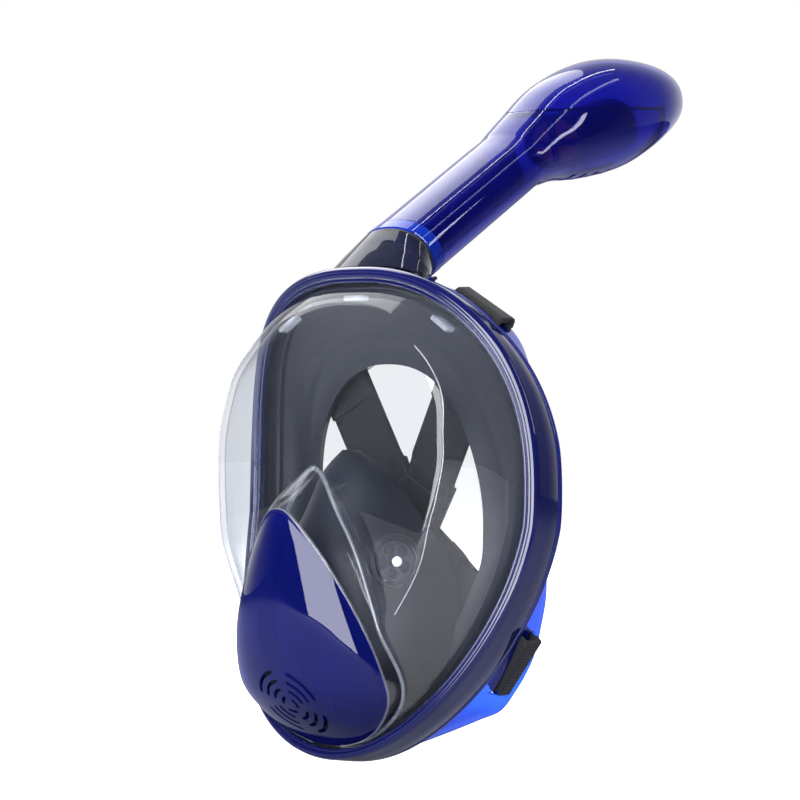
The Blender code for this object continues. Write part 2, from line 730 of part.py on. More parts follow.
def latch_pieces(joint):
    """Rear latch on the collar: ears, pin and a hooked lever, with the lever's frame on its pin."""
    pin_y, pin_z = TUBE_B + 3.0, 5.6
    bore = (TUBE_A - TUBE_WALL, TUBE_B - TUBE_WALL)
    collar = ring_of_ovals("tube_collar", (TUBE_A + 0.2, TUBE_B + 0.2), bore, *COLLAR, "blue", joint)
    for side in (-1, 1):
        low, high = sorted((side * 7.0, side * 9.2))
        ear = box("collar_ear_%d" % (side + 1), (low, TUBE_B - 1.0, 2.8), (high, TUBE_B + 5.0, 8.4),
                  "blue", joint)
        boolean(collar, hide(ear), "UNION")
    cross = empty("latch_axis", joint, (0, pin_y, pin_z))
    turn = empty("latch_pin_axis", cross, (0, 0, 0), Matrix.Rotation(math.radians(90), 3, "Y"))
    boolean(collar, hide(turned("pin_holes", ((0, -12), (1.3, -12), (1.3, 12), (0, 12)), 12, "blue", turn)))
    turned("latch_pin", ((0, -8.9), (1.0, -8.9), (1.0, 8.9), (0, 8.9)), 12, "black", turn)
    outline = [(2.0, 8.5), (2.3, 2.4), (2.0, -17.0), (-1.9, -17.0), (-1.9, -13.8), (0.2, -13.2), (0.0, -3.4),
               (-1.9, -2.4), (-1.9, 2.4), (0.2, 3.6), (0.4, 8.5)]
    made = prism("release_latch", outline, 6.6, "navy", cross)
    hole = turned("lever_hole", ((0, -12), (1.3, -12), (1.3, 12), (0, 12)), 12, "navy", turn)
    boolean(made, hide(hole))
    return collar


def float_pieces(parent):
    """Float, its seal, its cage and the valve seat, on the bulb's own axis."""
    turn = Matrix.Rotation(math.radians(-BULB_AXIS_TILT), 3, "X")
    axis = empty("float_axis", parent, (0, 146.5, 195.0), turn)
    cage = ring_of_ovals("float_cage", (19.5, 15), (18, 13.5), -2, 46, "smoke", axis)
    floors = [box("cage_floor_wide", (-18.7, -1.5, -2.01), (18.7, 1.5, -0.5), "smoke", axis),
              box("cage_floor_deep", (-1.5, -14.2, -1.99), (1.5, 14.2, -0.51), "smoke", axis)]
    for floor in floors:
        boolean(cage, hide(floor), "UNION")
    rows = ((14.5, 10.5, 0.5), (17, 12.6, 3), (17, 12.6, 25), (15, 11, 28))
    loft("float", [oval(*row, 0, 2.3, 24) for row in rows], "foam", axis)
    rows = ((15.2, 11.2, 28.3), (15.2, 11.2, 30.3))
    loft("float_seal", [oval(*row, 0, 2.3, 24) for row in rows], "silicone", axis)
    ring_of_ovals("float_valve_seat", (17.6, 13.1), (11, 7), 42.5, 45, "white", axis)
    return axis


def tube_dividers(joint):
    """Two plates that part the middle breathing-in channel from the side channels."""
    for side, tag in ((1, "left"), (-1, "right")):
        x = side * 9.5
        low, high = sorted((x, x + side * 1.2))
        box("channel_divider_" + tag, (low, -11.0, 22), (high, 11.0, 94), "smoke", joint)


# ---- straps ------------------------------------------------------------------------------------

def strap_frame(name, start, end, parent):
    """Frame with X along the strap's width, Y through it and Z from start to end."""
    along = (Vector(end) - Vector(start)).normalized()
    through = Vector((0, 1, 0))
    through = (through - along * through.dot(along)).normalized()
    across = through.cross(along)
    return empty(name, parent, start, Matrix((across, through, along)).transposed())


def strap(name, stations, bar, side, lift, parent):
    """Flat strap from behind its bar to the crossing patch, with its slider. Returns its far direction."""
    start = np.mean(bar_ends(stations, bar, side), axis=0) + (0, lift, 0)
    end = np.array(STRAP_CROSSING)
    frame = strap_frame(name + "_line", start, end, parent)
    length = np.linalg.norm(end - start) - PATCH_ARM - 2 * GAP
    w, t = STRAP_WIDTH / 2, STRAP_THICK / 2
    box(name, (-w, -t, STRAP_TRIM), (w, t, length), "webbing", frame)
    slide = empty(name.replace("strap", "slider") + "_line", frame, (0, 0, SLIDER_PLACE))
    slider(name.replace("strap", "strap_slider"), slide)
    x, _, z = start - end
    return Vector((x, z)).normalized()


def slider(name, frame):
    """Ladder slider: a flat sleeve round the strap whose upper wall has two slots."""
    made = box(name, (-19.5, -2.5, -9), (19.5, 3.6, 9), "black", frame)
    boolean(made, hide(box(name + "_window", (-16.6, -1.4, -12), (16.6, 1.6, 12), "black", frame)))
    for k, z in enumerate((-4.4, 4.4)):
        slot = box("%s_slot_%d" % (name, k), (-16, 0, z - 2.2), (16, 5, z + 2.2), "black", frame)
        boolean(made, hide(slot))


def rear_patch(arms, parent):
    """Cross-shaped patch that the four straps are sewn to. Arms are the straps' directions from it."""
    half = STRAP_WIDTH / 2
    arms = sorted(arms, key=lambda arm: math.atan2(arm.y, arm.x))
    outline = []
    for arm, following in zip(arms, arms[1:] + arms[:1]):
        across = Vector((-arm.y, arm.x))
        between = (arm + following).normalized()
        notch = between * half / math.sqrt(1 - between.dot(arm) ** 2)
        outline += [arm * PATCH_ARM - across * half, arm * PATCH_ARM + across * half, notch]
    turn = Matrix.Rotation(math.radians(90), 3, "Z")
    frame = empty("patch_frame", parent, STRAP_CROSSING, turn)
    flat = [(-point.x, point.y) for point in outline]
    prism("strap_crossing_patch", flat, PATCH_THICK / 2, "webbing", frame)


def lens_clip(name, theta, parent):
    """Small clip under the ring's lip that holds the lens and the skirt together."""
    _, _, out_x, out_z = ring_point(theta)
    turn = Matrix.Rotation(math.atan2(out_x, out_z), 3, "Y")
    at = on_ring(theta, -LIP_SIDE - LENS_WALL - 4.6, 0)
    frame = empty(name + "_frame", parent, at, turn)
    box(name, (-6, -2.0, -1.3), (6, 3.6, 1.3), "clear", frame)


# ---- assembly ----------------------------------------------------------------------------------

def build():
    clear_scene()
    mask = empty("mask_frame", None, FRAME_SHIFT)
    lean = Matrix.Rotation(math.radians(-TUBE_TILT), 3, "X")
    snorkel = empty("snorkel_axis", mask, (0,) + TUBE_START, lean)

    chin_valve = empty("chin_valve_axis", mask, (0, -35.2, -88), axis_rotation((0, -0.77, -0.64)))
    side_valves = {}
    for side, tag in ((1, "left"), (-1, "right")):
        turn = axis_rotation((side * 0.93, -0.37, 0.0))
        side_valves[tag] = empty("side_valve_axis_" + tag, mask, (side * 36.5, -6.5, -17), turn)

    front_frame(mask)
    rear_frame(mask)
    lens(mask)
    nose_cover(mask, chin_valve)
    face_skirt(mask)
    orinasal_pocket(mask, side_valves, chin_valve)
    for name, angle in (("lens_clip_top", 0), ("lens_clip_left", 33), ("lens_clip_right", -33)):
        lens_clip(name, math.radians(angle), mask)

    for tag, frame in side_valves.items():
        valve_seat("orinasal_valve_seat_" + tag, 10, 2.4, ((3.6, 8.4, 5, 0.78, 0),), frame, "clear")
        valve_flap("orinasal_valve_flap_" + tag, 9, 2.4, 1.5, -1, frame)
    chin_seat = empty("chin_seat_axis", chin_valve, (0, 0, -8.6))
    valve_seat("chin_valve_seat", 15.5, 2.6, ((4.2, 12.4, 5, 0.8, 0),), chin_seat, "black")
    valve_flap("chin_valve_flap", 13.4, 2.6, 1.5, 1, chin_seat)

    snorkel_socket(mask, snorkel)
    ring_of_ovals("socket_gasket", (TUBE_A - 0.2, TUBE_B - 0.2), (TUBE_A - TUBE_WALL, TUBE_B - TUBE_WALL),
                  GAP, COLLAR[0] - GAP, "silicone", snorkel)
    snorkel_tube(mask)
    snorkel_cap(mask)
    latch_pieces(snorkel)
    float_pieces(mask)
    tube_dividers(snorkel)

    arms = []
    for side, tag in ((1, "left"), (-1, "right")):
        arms.append(strap("strap_upper_" + tag, UPPER_LUG, UPPER_BAR, side, UPPER_LIFT, mask))
        arms.append(strap("strap_lower_" + tag, LOWER_WING, LOWER_BAR, side, LOWER_LIFT, mask))
    rear_patch(arms, mask)


build()
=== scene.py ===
"""Full-face snorkel mask: fine surfaces, materials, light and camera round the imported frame.

Lengths are in millimetres in the mask frame (-Y front, +Z up, +X the wearer's left; the origin is
the top of the frame ring's front face). MASK moves that frame to the row's own, in metres.
"""
import math

import bmesh
import bpy
import numpy as np
from mathutils import Matrix, Vector
from mathutils.bvhtree import BVHTree


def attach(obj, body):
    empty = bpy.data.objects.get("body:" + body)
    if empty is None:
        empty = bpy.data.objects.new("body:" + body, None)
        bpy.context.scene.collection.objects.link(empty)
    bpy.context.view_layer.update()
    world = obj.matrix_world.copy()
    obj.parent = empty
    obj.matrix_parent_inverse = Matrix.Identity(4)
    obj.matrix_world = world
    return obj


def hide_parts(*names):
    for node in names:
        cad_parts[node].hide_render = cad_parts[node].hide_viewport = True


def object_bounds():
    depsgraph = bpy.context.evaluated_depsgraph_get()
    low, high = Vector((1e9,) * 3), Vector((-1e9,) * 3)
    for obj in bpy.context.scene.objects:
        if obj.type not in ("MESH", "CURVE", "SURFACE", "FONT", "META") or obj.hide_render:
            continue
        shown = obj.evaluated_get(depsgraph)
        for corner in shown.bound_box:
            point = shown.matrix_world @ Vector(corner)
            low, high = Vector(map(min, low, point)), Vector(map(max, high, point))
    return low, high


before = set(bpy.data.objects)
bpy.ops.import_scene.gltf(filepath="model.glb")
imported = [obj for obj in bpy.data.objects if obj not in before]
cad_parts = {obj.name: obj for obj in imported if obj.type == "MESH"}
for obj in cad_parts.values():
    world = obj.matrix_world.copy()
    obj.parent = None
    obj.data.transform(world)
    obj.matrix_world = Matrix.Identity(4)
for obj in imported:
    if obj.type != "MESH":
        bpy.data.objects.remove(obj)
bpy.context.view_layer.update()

MM = 0.001
MASK = Matrix.Scale(MM, 4) @ Matrix.Translation((0, -36, 10))
GAP = 0.3

# ---- driving sizes -----------------------------------------------------------------------------

RING_HALF_WIDTH, RING_TOP, RING_BOTTOM, RING_WIDEST = 96.5, 122.0, -113.5, 12.0
RING_UPPER_POWER, RING_WRAP, RING_CHIN = 2.5, 25.0, 13.0
RING_STEPS = 200
BAND_TOP, BAND_SIDE, BAND_FLARE_TOP, BAND_FLARE_BOTTOM = 7.0, 15.0, -2.0, 2.0
LIP_SIDE, LIP_CHIN = 8.0, 5.5
LENS_WALL, LENS_FRONT, LENS_FLANGE, LENS_EDGE = 2.5, -25.5, (2.3, 4.3), -3.6
BEAK = (
    (31, 2, -20, -19), (20, 8, -34, -23), (7, 15.5, -48, -23), (-11, 27.5, -51, -22.5),
    (-27, 35, -52, -20.5), (-45, 42.5, -52, -17.5), (-64, 48, -48, -14), (-80, 49, -41, -11.5),
    (-92, 40.5, -31, -11), (-101, 27, -20, -11.5), (-106, 10, -14, -12),
)
BEAK_POWER = 2.25
ARCH_APEX, ARCH_SLOPE = (-48.5, 6.0), 0.33
SKIRT_FLANGE, SKIRT_WALL = (4.6, 6.6), 2.2
FACE_HALF_WIDTH, FACE_TOP, FACE_BOTTOM, FACE_WIDEST = 56.0, 76.0, -98.0, -6.0
POCKET = (
    (34, 4, -5, 2), (28, 12, -9, 5), (21, 19, -13, 10), (4, 27, -21, 20), (-17, 40, -30, 27),
    (-40, 44, -33, 31), (-62, 41, -30, 32), (-78, 31, -20, 32), (-90, 17, 0, 32),
)
POCKET_WALL = 2.0
TUBE_TILT, TUBE_START, TUBE_A, TUBE_B, TUBE_WALL, TUBE_STRAIGHT = 57.0, (28.1, 128.2), 22.5, 15.5, 2.4, 97.0
TUBE_BORE = TUBE_A - TUBE_WALL, TUBE_B - TUBE_WALL
BULB = (
    (109.5, 181, 22.5, 15.5), (127, 191, 24.5, 20), (150.6, 202, 27.5, 27), (183.6, 213.5, 29, 29.5),
    (214, 222, 25, 23), (236, 226.5, 15, 14), (245.5, 228.3, 5, 5),
)
SPIGOT_LENGTH, COLLAR = 20.0, (2.1, 9.5)
SOCKET_ROWS = (
    ((10.8, 114.4), (24, 114.4), 26), ((10.8, 120.8), (25, 115.5), 27), ((4, 122.6), (27.5, 116), 29.5),
    ((10, 130), (31, 115), 27.5), ((15.5, 136.6), (34, 114.6), 24.6), ((19.66, 141.2), (36.54, 115.2), 22.5),
)
CAP_LINE = ((90, 205.4), (204, 217), (209, 196), (290, 190), (290, 290), (90, 290))
TUBE_STEPS = 72
VENTS, VENT_LEAN = (150, 159, 168, 177), (190, -16)     # places in Y; height and tilt in degrees
FLOAT_LEAN = (146.5, 195.0, -73.5)                      # Y, Z and tilt of the float's cage
CLIPS = (("lens_clip_top", 0), ("lens_clip_left", 33), ("lens_clip_right", -33))
STRAP_WIDTH, STRAP_CROSSING = 32.0, (0.0, 41.0, -8.0)
SLIDER_PLACE, PATCH_ARM = 32.0, 36.0
UPPER_LUG = ((20, -2.5, 0.3), (24.3, -3.6, 12.6), (34, -4.9, 15.1), (45, -4.9, 15.7), (56.4, -5.6, 9.6),
             (63, -3.2, 0.3))
LOWER_WING = ((100, -2, 1), (105, -3.6, 6), (112, -3.7, 14), (118.5, -2.9, 20), (126.5, 0, 25.8),
              (134.5, 4, 25.5), (139, 5.5, 25), (144, 3, 22), (155, 0.5, 10), (165, 0.5, 1))
PLATE_THICK = 2.6
UPPER_BAR, LOWER_BAR = (25.5, 44.0, 3.8), (117.5, 137.0, 8.0)
UPPER_SLOTS, LOWER_SLOTS = ((1.8, 5.8),), ((2.4, 6.2), (-6.0, -2.4))
UPPER_LIFT, LOWER_LIFT = 5.0, 4.5
SIDES = ((1, "left"), (-1, "right"))

SNORKEL = MASK @ Matrix.Translation((0,) + TUBE_START) @ Matrix.Rotation(math.radians(-TUBE_TILT), 4, "X")


# ---- mesh helpers ------------------------------------------------------------------------------

def mesh_object(name, verts, faces, place=MASK, sharp=35):
    """Object from points in millimetres, with its faces turned outwards."""
    mesh = bpy.data.meshes.new(name)
    mesh.from_pydata([tuple(place @ Vector(map(float, v))) for v in verts], [], faces)
    work = bmesh.new()
    work.from_mesh(mesh)
    bmesh.ops.recalc_face_normals(work, faces=work.faces)
    if work.calc_volume(signed=True) < 0:
        bmesh.ops.reverse_faces(work, faces=work.faces)
    work.to_mesh(mesh)
    work.free()
    smooth(mesh, sharp)
    obj = bpy.data.objects.new(name, mesh)
    bpy.context.scene.collection.objects.link(obj)
    return obj


def smooth(mesh, sharp):
    mesh.shade_smooth()
    mesh.set_sharp_from_angle(angle=math.radians(sharp))


def apply_modifiers(obj, sharp=35):
    """Replace the object's mesh with what its modifiers make of it."""
    graph = bpy.context.evaluated_depsgraph_get()
    made = bpy.data.meshes.new_from_object(obj.evaluated_get(graph))
    obj.modifiers.clear()
    obj.data = made
    smooth(made, sharp)
    return obj


def cut(obj, cutters, operation="DIFFERENCE", sharp=35):
    """Boolean with each cutter in turn. The cutters are removed."""
    for cutter in cutters:
        step = obj.modifiers.new("cut", "BOOLEAN")
        step.operation = operation
        step.object = cutter
        step.solver = "EXACT"
        apply_modifiers(obj, sharp)
        bpy.data.objects.remove(cutter)
    return obj


def bevel(obj, width, segments=2, angle=35):
    step = obj.modifiers.new("bevel", "BEVEL")
    step.width = width * MM
    step.segments = segments
    step.limit_method = "ANGLE"
    step.angle_limit = math.radians(angle)
    return apply_modifiers(obj)


def grid_faces(rows, columns, start=0):
    """Quads between rows of points, each row closed on itself."""
    faces = []
    for i in range(rows - 1):
        for j in range(columns):
            k = (j + 1) % columns
            a, b = start + i * columns, start + (i + 1) * columns
            faces.append((a + j, a + k, b + k, b + j))
    return faces


def loop_sweep(name, sections, place=MASK, sharp=35):
    """A closed profile carried round a closed path."""
    sections = np.asarray(sections, float)
    rows, columns = sections.shape[:2]
    faces = grid_faces(rows, columns)
    last = (rows - 1) * columns
    faces += [(last + j, last + (j + 1) % columns, (j + 1) % columns, j) for j in range(columns)]
    return mesh_object(name, sections.reshape(-1, 3), faces, place, sharp)


def loft(name, sections, place=MASK, sharp=35):
    """Closed sections joined in a row, with a fan over each end."""
    sections = np.asarray(sections, float)
    rows, columns = sections.shape[:2]
    verts = list(sections.reshape(-1, 3))
    faces = grid_faces(rows, columns)
    for row in (0, rows - 1):
        centre = len(verts)
        verts.append(sections[row].mean(axis=0))
        first = row * columns
        faces += [(first + j, first + (j + 1) % columns, centre) for j in range(columns)]
    return mesh_object(name, verts, faces, place, sharp)


def thick_sheet(name, front, back):
    """Two matching grids of points joined round their edges."""
    front, back = np.asarray(front, float), np.asarray(back, float)
    rows, columns = front.shape[:2]
    verts = list(front.reshape(-1, 3)) + list(back.reshape(-1, 3))
    shift = rows * columns
    faces = []
    for i in range(rows - 1):
        for j in range(columns - 1):
            a = i * columns + j
            quad = (a, a + 1, a + columns + 1, a + columns)
            faces += [quad, tuple(shift + q for q in reversed(quad))]
    rim = list(range(columns))
    rim += [i * columns + columns - 1 for i in range(1, rows)]
    rim += [(rows - 1) * columns + j for j in range(columns - 2, -1, -1)]
    rim += [i * columns for i in range(rows - 2, 0, -1)]
    faces += [(a, b, shift + b, shift + a) for a, b in zip(rim, rim[1:] + rim[:1])]
    return mesh_object(name, verts, faces)


def turned(name, profile, place, steps=48):
    """A profile of (radius, height) turned about Z. It starts and ends on the axis."""
    verts, faces, rows = [], [], []
    for radius, height in profile:
        if radius == 0:
            rows.append([len(verts)])
            verts.append((0, 0, height))
            continue
        rows.append(list(range(len(verts), len(verts) + steps)))
        for k in range(steps):
            angle = 2 * math.pi * k / steps
            verts.append((radius * math.cos(angle), radius * math.sin(angle), height))
    for low, high in zip(rows, rows[1:]):
        for k in range(steps):
            n = (k + 1) % steps
            if len(low) == 1:
                faces.append((low[0], high[n], high[k]))
            elif len(high) == 1:
                faces.append((low[k], low[n], high[0]))
            else:
                faces.append((low[k], low[n], high[n], high[k]))
    return mesh_object(name, verts, faces, place)


def rod(name, radius, low, high, place, steps=48):
    return turned(name, ((0, low), (radius, low), (radius, high), (0, high)), place, steps)


def turned_ring(name, profile, place, steps):
    """A closed profile of (radius, height) turned about Z."""
    sections = [[(r * math.cos(a), r * math.sin(a), h) for r, h in profile] for a in ring_angles(steps)]
    return loop_sweep(name, sections, place)


def arc_slots(name, rings, depth, place):
    """Cutter made of curved slots. Each ring is (inner, outer, count, filled share, first angle)."""
    verts, faces = [], []
    steps = 14
    for inner, outer, count, share, first in rings:
        for n in range(count):
            start = math.radians(first) + 2 * math.pi * n / count
            span = 2 * math.pi * share / count
            base = len(verts)
            for i in range(steps + 1):
                t = i / steps
                angle = start + span * t
                near = min(t, 1 - t) * span * (inner + outer) / 2
                half = (outer - inner) / 2
                lean = math.sqrt(max(1 - max(1 - near / half, 0.0) ** 2, 0.06)) * half
                middle = (inner + outer) / 2
                for radius, height in ((middle - lean, -depth), (middle + lean, -depth),
                                       (middle + lean, depth), (middle - lean, depth)):
                    verts.append((radius * math.cos(angle), radius * math.sin(angle), height))
            faces.append((base, base + 1, base + 2, base + 3))
            end = base + 4 * steps
            faces.append((end + 3, end + 2, end + 1, end))
            for i in range(steps):
                a = base + 4 * i
                faces += [(a + c, a + 4 + c, a + 4 + (c + 1) % 4, a + (c + 1) % 4) for c in range(4)]
    return mesh_object(name, verts, faces, place)


def prism(name, outline, half, place):
    """Outline of (y, z) points extruded across, from -half to +half in X."""
    count = len(outline)
    verts = [(x, y, z) for x in (-half, half) for y, z in outline]
    faces = [tuple(range(count)), tuple(range(2 * count - 1, count - 1, -1))]
    faces += [(j, (j + 1) % count, count + (j + 1) % count, count + j) for j in range(count)]
    return mesh_object(name, verts, faces, place)


def box(name, low, high, place):
    corners = [(x, y, z) for z in (low[2], high[2]) for y in (low[1], high[1]) for x in (low[0], high[0])]
    faces = [(0, 2, 3, 1), (4, 5, 7, 6), (0, 1, 5, 4), (2, 6, 7, 3), (0, 4, 6, 2), (1, 3, 7, 5)]
    return mesh_object(name, corners, faces, place)


def bead(name, points, radius, steps):
    """Round bead along a line of points."""
    points = [Vector(p) for p in points]
    sections, up = [], Vector((0, 1, 0))
    for behind, point, ahead in zip(points[:1] + points, points, points[1:] + points[-1:]):
        along = (ahead - behind).normalized()
        side = along.cross(up).normalized()
        up = side.cross(along).normalized()
        sections.append([point + (side * math.cos(angle) + up * math.sin(angle)) * radius
                         for angle in ring_angles(steps)])
    return loft(name, sections)


# ---- shape formulas, as the frame's own ----------------------------------------------------------

def ease(t):
    """Smooth step from 0 to 1."""
    t = min(max(t, 0), 1)
    return t * t * (3 - 2 * t)


def bezier(a, b, c, t):
    return a * (1 - t) ** 2 + b * 2 * t * (1 - t) + c * t * t


def spline(rows, keys, slopes, t):
    """Cubic through rows of numbers, read at t."""
    i = min(int(np.searchsorted(keys, t, side="right")) - 1, len(keys) - 2)
    h = keys[i + 1] - keys[i]
    u = (t - keys[i]) / h
    return ((2 * u**3 - 3 * u**2 + 1) * rows[i] + (u**3 - 2 * u**2 + u) * h * slopes[i]
            + (3 * u**2 - 2 * u**3) * rows[i + 1] + (u**3 - u**2) * h * slopes[i + 1])


def resampled(line, count):
    """The same line with its points at even steps."""
    line = np.asarray(line, float)
    far = np.concatenate([[0], np.cumsum(np.linalg.norm(np.diff(line, axis=0), axis=1))])
    even = np.linspace(0, far[-1], count)
    return np.stack([np.interp(even, far, column) for column in line.T], axis=1)


def signed_power(value, power):
    return math.copysign(abs(value) ** power, value)


def from_top(theta):
    """Angle from the ring's top in degrees, from -180 to 180."""
    return math.degrees(math.atan2(math.sin(theta), math.cos(theta)))


def ring_point(theta):
    """Point on the ring's outline and the unit direction out from its centre."""
    s, c = math.sin(theta), math.cos(theta)
    power = RING_UPPER_POWER if c > 0 else 2.0
    height = RING_TOP - RING_WIDEST if c > 0 else RING_WIDEST - RING_BOTTOM
    x = RING_HALF_WIDTH * signed_power(s, 2 / power)
    z = height * signed_power(c, 2 / power)
    size = math.hypot(x, z)
    return x, z + RING_WIDEST, x / size, z / size


def ring_depth(x, z):
    side = RING_WRAP * abs(x / RING_HALF_WIDTH) ** 3
    return side - RING_CHIN * min(max(z / RING_BOTTOM, 0.0), 1.0)


def on_ring(theta, out, back):
    """Ring point moved outwards and backwards."""
    x, z, out_x, out_z = ring_point(theta)
    return (x + out * out_x, ring_depth(x, z) + back, z + out * out_z)


def lip_width(theta):
    return LIP_SIDE - (LIP_SIDE - LIP_CHIN) * max(-math.cos(theta), 0.0) ** 2


def band_depth(theta):
    ramp = min((1 - math.cos(theta)) / (1 - math.cos(math.radians(80))), 1.0)
    return BAND_TOP + (BAND_SIDE - BAND_TOP) * ramp


def band_flare(theta):
    return BAND_FLARE_TOP + (BAND_FLARE_BOTTOM - BAND_FLARE_TOP) * (1 - math.cos(theta)) / 2


def ring_angles(steps=RING_STEPS):
    return [2 * math.pi * k / steps for k in range(steps)]


def smooth_stations(stations, spacing):
    """Cubic spline through rows of numbers, read at an even spacing."""
    rows = np.array(stations, float)
    steps = np.concatenate([[0], np.cumsum(np.linalg.norm(np.diff(rows, axis=0), axis=1) ** 0.5)])
    slopes = np.gradient(rows, steps, axis=0)
    places = np.linspace(0, steps[-1], int(steps[-1] / spacing) + 1)
    return np.array([spline(rows, steps, slopes, t) for t in places])


def arc_points(half_width, ridge, edge, power, count):
    """Super-ellipse arc across the symmetry plane, from -X to +X."""
    points = []
    for k in range(count):
        angle = math.pi * (k / (count - 1) - 0.5)
        s, c = math.sin(angle), max(math.cos(angle), 0.0)
        x = half_width * signed_power(s, 2 / power)
        points.append((x, edge + (ridge - edge) * c ** (2 / power)))
    return points


def beak_solid(name, wall, back):
    """The beak as a closed solid, its surface moved in by the wall."""
    sections = []
    for z, half, ridge, edge in smooth_stations(BEAK, 0.8):
        shift = np.interp(z, (-106, -80, 0, 29), (1.0, 0.0, -0.4, -1.2)) * wall
        arc = arc_points(max(half - wall, 0.6), ridge + wall, edge + wall, BEAK_POWER, 46)
        flat = [(arc[-1][0], edge + wall + back), (arc[0][0], edge + wall + back)]
        sections.append([(x, y, z + shift) for x, y in arc + flat])
    return loft(name, sections)


def arch_depth(z, offset=0.0):
    return ARCH_APEX[0] + offset + ARCH_SLOPE * (ARCH_APEX[1] - z)


def cover_zone(name, offset):
    """Half-space in front of the arch plane."""
    top, bottom, reach = 60.0, -125.0, 110.0
    outline = [(arch_depth(top, offset), top), (arch_depth(bottom, offset), bottom),
               (arch_depth(bottom, offset) - reach, bottom), (arch_depth(top, offset) - reach, top)]
    return prism(name, outline, 80.0, MASK)


def arch_line(inset):
    """Line where the beak's surface meets the arch plane, from the left foot over the apex to the right."""
    half_line = []
    for z, half, ridge, edge in smooth_stations(BEAK, 0.25):
        y = arch_depth(z)
        if not ridge < y < edge:
            continue
        c = ((edge - y) / (edge - ridge)) ** (BEAK_POWER / 2)
        x = (half - inset) * math.sqrt(max(1 - c * c, 0.0)) ** (2 / BEAK_POWER)
        half_line.append((x, y + inset * 0.3, z))
    return resampled([(-x, y, z) for x, y, z in reversed(half_line)] + half_line, 120)


def face_point(theta):
    """Edge of the face opening."""
    s, c = math.sin(theta), math.cos(theta)
    height = FACE_TOP - FACE_WIDEST if c > 0 else FACE_WIDEST - FACE_BOTTOM
    x = FACE_HALF_WIDTH * signed_power(s, 0.85)
    z = FACE_WIDEST + height * signed_power(c, 0.85)
    return np.array((x, 25 + 5 * (x / FACE_HALF_WIDTH) ** 2 + 4 * ease((50 - z) / 50), z))


def oval(a, b, height, power=2.3):
    """Flat-oval section at a height along Z."""
    turns = [(math.cos(angle), math.sin(angle)) for angle in ring_angles(TUBE_STEPS)]
    return [(a * signed_power(c, 2 / power), b * signed_power(s, 2 / power), height) for c, s in turns]


def tilted_oval(y, z, a, b, tilt, power=2.3):
    """Flat-oval section in mask coordinates, its normal tilted back from +Z."""
    t = math.radians(tilt)
    return [(px, y + py * math.cos(t), z - py * math.sin(t)) for px, py, _ in oval(a, b, 0, power)]


def tube_section(s, a, b):
    """Flat-oval section across the tube, at a distance along it from its start."""
    t = math.radians(TUBE_TILT)
    return tilted_oval(TUBE_START[0] + s * math.sin(t), TUBE_START[1] + s * math.cos(t), a, b, TUBE_TILT)


def tube_rows(wall, start, end_cut):
    """Sections of the tube and bulb. The wall moves the surface in."""
    along = np.linspace(start, TUBE_STRAIGHT * 0.9, 12)
    rows = [tube_section(s, TUBE_A - wall, TUBE_B - wall) for s in along]
    stations = smooth_stations(BULB, 0.6)
    for i, (y, z, a, b) in enumerate(stations):
        low, high = stations[max(i - 1, 0)], stations[min(i + 1, len(stations) - 1)]
        tilt = math.degrees(math.atan2(high[0] - low[0], high[1] - low[1]))
        if a - wall < end_cut or b - wall < end_cut:
            break
        rows.append(tilted_oval(y, z, a - wall, b - wall, tilt, 2.2))
    return rows


def oval_between(front, rear, half_width):
    """Flat-oval section between a front and a rear point, each given as (y, z)."""
    (ya, za), (yb, zb) = front, rear
    tilt = math.degrees(math.atan2(za - zb, yb - ya))
    depth = math.hypot(yb - ya, zb - za) / 2
    return tilted_oval((ya + yb) / 2, (za + zb) / 2, half_width, depth, tilt)


def axis_place(origin, direction):
    """Frame in mask coordinates with its Z along the direction."""
    turn = Vector(direction).normalized().to_track_quat("Z", "X").to_matrix().to_4x4()
    return MASK @ Matrix.Translation(origin) @ turn


# ---- lens profile: a steep side wall and a shallow front panel that meet in a soft corner ---------

# angle round the ring: share of the way out, and of the depth, where the corner lies, and its softness
CORNER = ((0, 0.80, 0.80, 0.40), (35, 0.86, 0.78, 0.25), (60, 0.885, 0.80, 0.12), (77, 0.86, 0.86, 0.08),
          (100, 0.79, 0.93, 0.06), (130, 0.72, 0.92, 0.08), (180, 0.70, 0.86, 0.2))
CORNER_RING, CORNER_SPAN = 14, (38, 128)    # the lens ring on the corner, and where its edge shows


def corner_at(theta):
    """Share of the way out, share of the depth and softness of the lens's corner."""
    degrees = abs(from_top(theta))
    angles, shares, depths, softness = zip(*CORNER)
    i = min(int(np.searchsorted(angles, degrees, side="right")) - 1, len(angles) - 2)
    t = ease((degrees - angles[i]) / (angles[i + 1] - angles[i]))
    return [a[i] + (a[i + 1] - a[i]) * t for a in (shares, depths, softness)]


def lens_rings(wall):
    """Rings of the lens from its rim to its middle. The corner gets the closest rings."""
    steps = np.concatenate([np.linspace(0, 0.3, 9), np.linspace(0.325, 0.5, 14), np.linspace(0.54, 0.96, 13)])
    rings = []
    for step in steps:
        points = []
        for theta in ring_angles():
            share, depth, soft = corner_at(theta)
            r = 1 - step / 0.4 * (1 - share) if step < 0.4 else share * (1 - (step - 0.4) / 0.6)
            side = depth * ((1 - r) / (1 - share)) ** 0.75
            front = 1 - (1 - depth) * (r / share) ** 2.2
            h = min(max(0.5 + 0.5 * (side - front) / soft, 0.0), 1.0)
            rise = side + (front - side) * h - soft * h * (1 - h)
            x, base, z = on_ring(theta, -lip_width(theta) - wall, LENS_FLANGE[0])
            points.append((x * r, base + (LENS_FRONT + wall - base) * max(rise, 0.0),
                           RING_WIDEST + (z - RING_WIDEST) * r))
        rings.append(points)
    return rings


# ---- materials -----------------------------------------------------------------------------------

